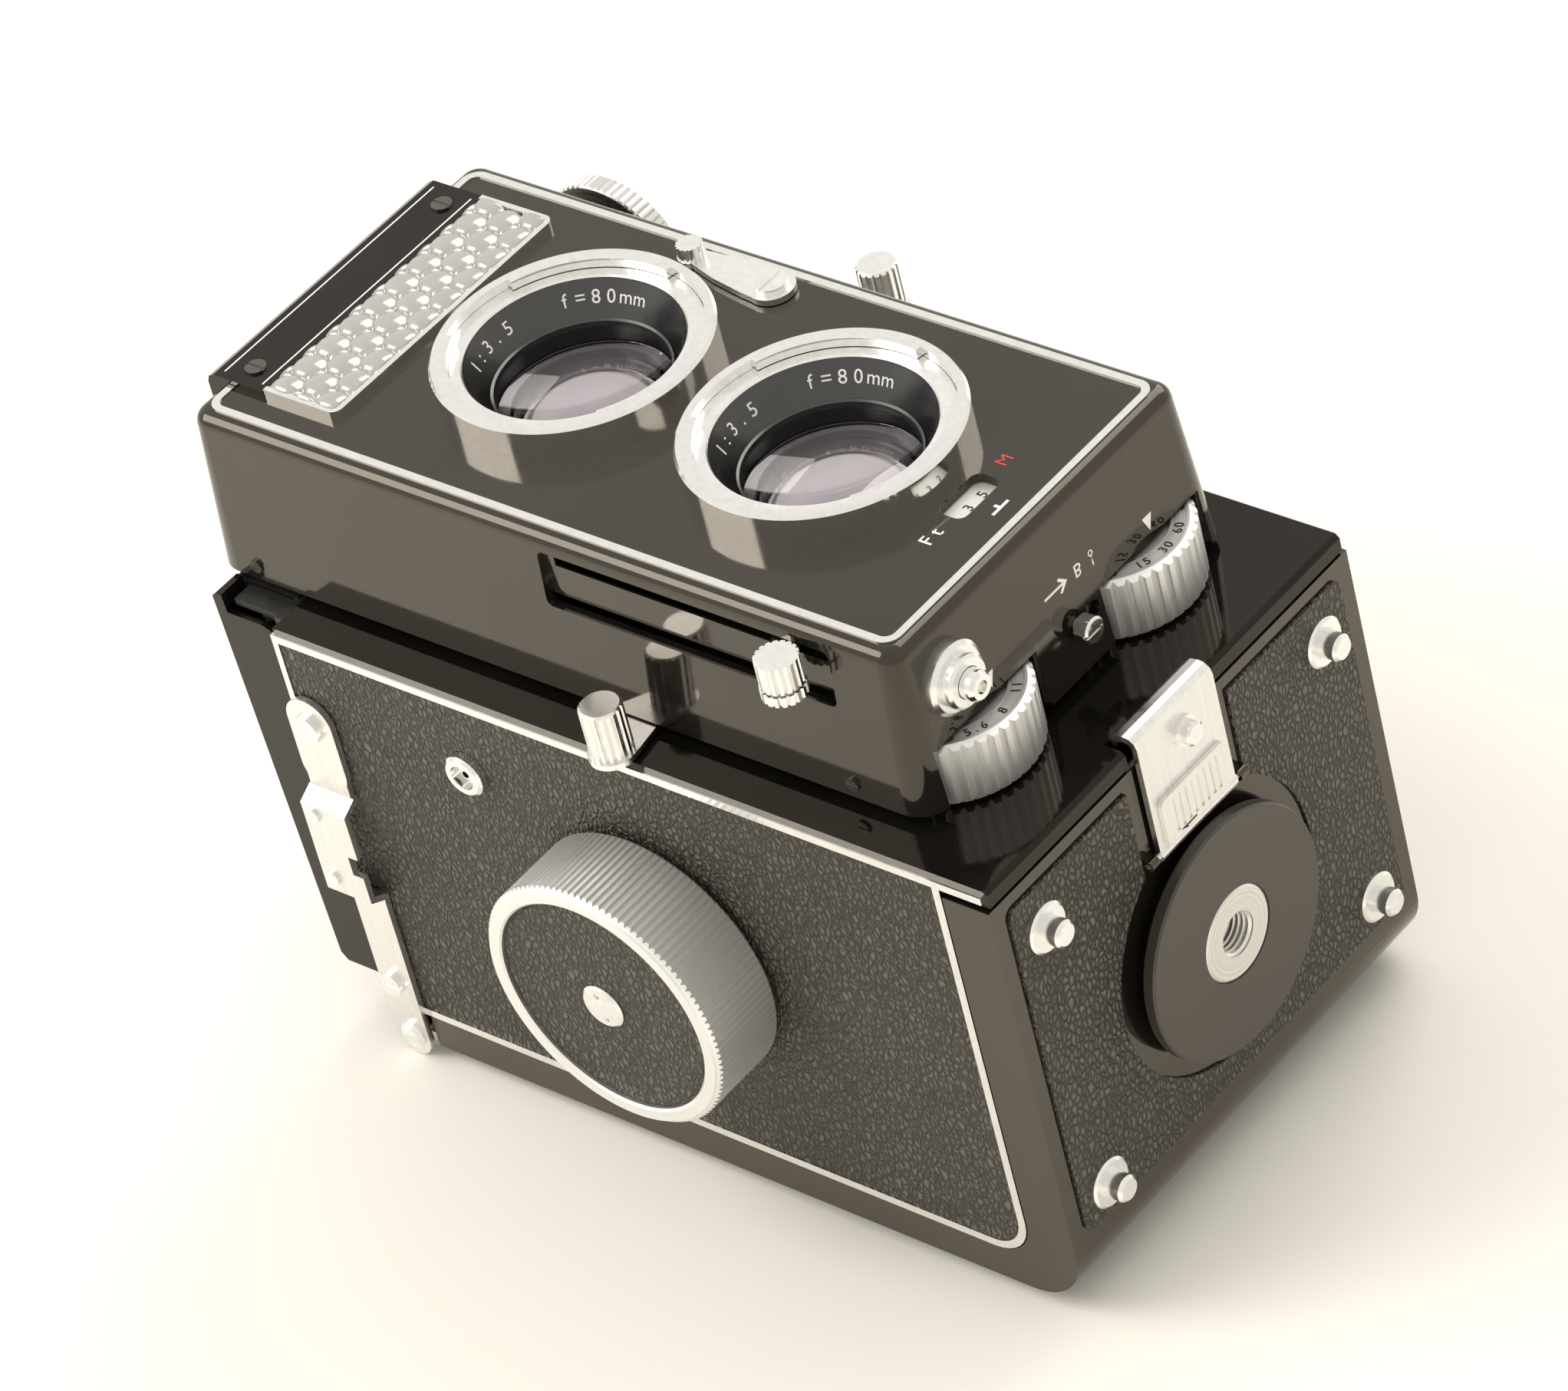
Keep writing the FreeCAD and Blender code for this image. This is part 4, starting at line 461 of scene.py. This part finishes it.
for j in range(nz):
    for i in range(nx):
        a = j * (nx + 1) + i
        F_.append((a, a + 1, a + nx + 2, a + nx + 1))
edge = [i for i in range(nx + 1)] + [j * (nx + 1) + nx for j in range(1, nz + 1)] + [nz * (nx + 1) + i for i in range(nx - 1, -1, -1)] + [j * (nx + 1) for j in range(nz - 1, 0, -1)]
for k in edge:
    v = V_[k]
    V_.append(Vector((v.x, (-PY + OY) / 1000.0, v.z)))
for k in range(len(edge)):
    k2 = (k + 1) % len(edge)
    F_.append((edge[k], top + k, top + k2, edge[k2]))
F_.append(tuple(top + k for k in range(len(edge))))
sheet_o = obj_from("meter_window_sheet", V_, F_, CELL, "lens_standard", True)
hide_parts("cell_window")

# ------------------------------------------------------------------ marks on the panel and the wheels
FR, FU = (1, 0, 0), (0, 0, 1)
place_text([("F", 3.0, 0.06, (-9.4, -PY - 0.03, 24.8), FR, FU), ("t", 3.0, 0.06, (-7.5, -PY - 0.03, 24.8), FR, FU)], "feet_mark", WHITE, "lens_standard")
place_text([("M", 2.7, 0.06, (7.6, -PY - 0.03, 25.5), FR, FU)], "flash_mark", RED, "lens_standard")
slab("index_bar", [(-1.6, -0.22), (1.6, -0.22), (1.6, 0.22), (0.22, 0.22), (0.22, 1.0), (-0.22, 1.0), (-0.22, 0.22), (-1.6, 0.22)], (-0.2, -PY, 20.2), FR, FU, 0.05, WHITE, "lens_standard")
place_text([(c, 2.2, 0.06, (-3.4 + 2.9 * i, -24.62, 25.4), FR, FU) for i, c in enumerate(("4", "3", "5"))], "distance_numbers", BLACKINK, "scale_slide")


def zb(y):
    """Underside of the panel at depth y."""
    return 12.75 + (-y - 1.45) * math.tan(math.radians(4.4))


def on_bottom(poly, x, y, name, mat=None, depth=0.05):
    t = math.tan(math.radians(4.4))
    return slab(name, poly, (x, y, zb(y)), (1, 0, 0), (0, 1, -t), depth, mat or WHITE, "lens_standard")


TB = math.tan(math.radians(4.4))
arrow = [(1.25 * a, 1.25 * b_) for a, b_ in ((-2.0, -0.14), (1.0, -0.14), (0.35, -0.75), (0.6, -0.95), (1.75, 0.0), (0.6, 0.95), (0.35, 0.75), (1.0, 0.14), (-2.0, 0.14))]


def text_bottom(chars, name, size, x0, dx, y, mat):
    its = []
    for i, ch in enumerate(chars):
        if ch != " ":
            its.append((ch, size, 0.06, (x0 - dx * i, y, zb(y) - 0.03), (-1, 0, 0), (0, -1, TB)))
    return place_text(its, name, mat, "lens_standard")


o = slab("bulb_arrow", [(-x, y) for x, y in arrow][::-1], (-0.3, -15.2, zb(-15.2)), (-1, 0, 0), (0, -1, TB), 0.05, WHITE, "lens_standard")
place_text([("B", 2.7, 0.06, (4.0, -15.2, zb(-15.2) - 0.03), (1, 0, 0), (0, 1, -TB)), ("o", 1.9, 0.06, (6.9, -15.5, zb(-15.5) - 0.03), (1, 0, 0), (0, 1, -TB)), ("!", 2.2, 0.06, (6.9, -14.6, zb(-14.6) - 0.03), (1, 0, 0), (0, 1, -TB))], "bulb_mark", WHITE, "lens_standard")
slab("speed_index", [(-0.95, 1.15), (0.95, 1.15), (0, -1.15)][::-1], (18.0, -12.2, zb(-12.2)), (-1, 0, 0), (0, -1, TB), 0.05, WHITE, "lens_standard")
slab("aperture_index", [(-0.95, 1.15), (0.95, 1.15), (0, -1.15)][::-1], (-15.4, -12.2, zb(-12.2)), (-1, 0, 0), (0, -1, TB), 0.05, WHITE, "lens_standard")


def wheel_numbers(labels, cx, cz, a_mid, step, name, body, mat):
    its = []
    for i, lab in enumerate(labels):
        a = math.radians(a_mid + step * (i - (len(labels) - 1) / 2.0))
        er = Vector((math.cos(a), 0, math.sin(a)))
        tan = Vector((-math.sin(a), 0, math.cos(a)))
        w = 1.15
        for k, ch in enumerate(lab):
            off = (k - (len(lab) - 1) / 2.0) * w
            c = er * 9.45 + tan * off + Vector((cx, -9.74, cz))
            its.append((ch, 1.9, 0.06, c, tan, -er))
    return place_text(its, name, mat, body)


wheel_numbers(["3.5", "5.6", "8", "11", "16", "22"], -17.3, 20.2, 284, 27, "aperture_numbers", "aperture_control", BLACKINK)
wheel_numbers(["1", "2", "4", "8", "15", "30", "60", "B"], 17.3, 20.2, 234, 24, "speed_numbers", "speed_control", BLACKINK)
slab("latch_arrow", [(1.6, -0.12), (-0.5, -0.12), (-0.2, -0.5), (-1.7, 0.1), (1.6, 0.1)], (-2.5, 15.9, -2.0), (1, 0, 0), (0, -1, 0), 0.04, BLACKINK, "latch_lock")

# plain rule lines on the blank name plate
slab("plate_line_low", [(-21.6, -0.11), (21.6, -0.11), (21.6, 0.11), (-21.6, 0.11)], (0, -27.15, 127.4), FR, FU, 0.03, WHITE, "lens_standard")
slab("plate_line_high", [(-21.6, -0.11), (21.6, -0.11), (21.6, 0.11), (-21.6, 0.11)], (0, -27.15, 134.2), FR, FU, 0.03, WHITE, "lens_standard")

# ------------------------------------------------------------------ floor, light, camera
fy = 0.0374
me = bpy.data.meshes.new("floor")
s = 3.0
me.from_pydata([(-s, fy, -s), (s, fy, -s), (s, fy, s), (-s, fy, s)], [], [(0, 1, 2, 3)])
me.update()
floor = bpy.data.objects.new("floor", me)
bpy.context.scene.collection.objects.link(floor)
m, nt, b = new_mat("floor_card")
v = coords(nt)
nt.links.new(ramp(nt, noise(nt, v, 6, 3), [(0.3, (0.885, 0.858, 0.795)), (0.7, (0.91, 0.883, 0.82))]), b.inputs["Base Color"])
b.inputs["Roughness"].default_value = 0.9
b.inputs["Specular IOR Level"].default_value = 0.1
geo = nt.nodes.new("ShaderNodeNewGeometry")
lp = nt.nodes.new("ShaderNodeLightPath")
mx = nt.nodes.new("ShaderNodeMath")
mx.operation = "MAXIMUM"
nt.links.new(geo.outputs["Backfacing"], mx.inputs[0])
nt.links.new(lp.outputs["Is Shadow Ray"], mx.inputs[1])
tr = nt.nodes.new("ShaderNodeBsdfTransparent")
ms = nt.nodes.new("ShaderNodeMixShader")
nt.links.new(mx.outputs[0], ms.inputs["Fac"])
nt.links.new(b.outputs["BSDF"], ms.inputs[1])
nt.links.new(tr.outputs["BSDF"], ms.inputs[2])
nt.links.new(ms.outputs["Shader"], nt.nodes["Material Output"].inputs["Surface"])
me.materials.append(m)

w = bpy.data.worlds.new("studio")
bpy.context.scene.world = w
w.use_nodes = True
bg = w.node_tree.nodes["Background"]
wt = w.node_tree
tcw = wt.nodes.new("ShaderNodeTexCoord")
sep = wt.nodes.new("ShaderNodeSeparateXYZ")
wt.links.new(tcw.outputs["Generated"], sep.inputs[0])
mr = wt.nodes.new("ShaderNodeMapRange")
mr.inputs["From Min"].default_value = -1.0
mr.inputs["From Max"].default_value = 1.0
wt.links.new(sep.outputs["Z"], mr.inputs["Value"])
cr = wt.nodes.new("ShaderNodeValToRGB")
cr.color_ramp.elements[0].position = 0.0
cr.color_ramp.elements[0].color = (0.95, 0.92, 0.86, 1)
cr.color_ramp.elements[1].position = 0.75
cr.color_ramp.elements[1].color = (1.0, 0.975, 0.93, 1)
wt.links.new(mr.outputs["Result"], cr.inputs["Fac"])
wt.links.new(cr.outputs["Color"], bg.inputs["Color"])
bg.inputs["Strength"].default_value = 0.95


def area(name, loc, target, size, power, col=(1, 0.97, 0.92)):
    L = bpy.data.lights.new(name, "AREA")
    L.shape = "RECTANGLE"
    L.size, L.size_y = size
    L.energy = power
    L.color = col
    ob = bpy.data.objects.new(name, L)
    bpy.context.scene.collection.objects.link(ob)
    ob.location = loc
    ob.rotation_euler = (Vector(target) - Vector(loc)).to_track_quat("-Z", "Y").to_euler()
    return ob


area("key", (-0.55, -0.75, 0.75), (0, 0, 0.06), (0.7, 0.7), 7.5)
area("fill", (0.75, -0.7, 0.1), (0, 0, 0.06), (0.7, 0.7), 4.5)

cam = bpy.data.cameras.new("camera")
cam.sensor_fit = "HORIZONTAL"
cam.sensor_width = 36.0
cam.lens = 175.0522632173835
cam.clip_start = 0.01
cam.clip_end = 20.0
co = bpy.data.objects.new("camera", cam)
bpy.context.scene.collection.objects.link(co)
right = Vector((0.6115655540509728, 0.204212550970685, -0.7643852478458569))
down = Vector((-0.5953925105645662, 0.7550353702919756, -0.27464403866037596))
fwd = Vector((0.5210521389092934, 0.6230720854235925, 0.5833402479719241))
M = Matrix.Identity(4)
for i in range(3):
    M[i][0], M[i][1], M[i][2] = right[i], -down[i], -fwd[i]
M.translation = P(-524.3239605217583, -604.5340119039109, -518.432545163828)
co.matrix_world = M
bpy.context.scene.camera = co
bpy.context.scene.view_settings.view_transform = "Standard"
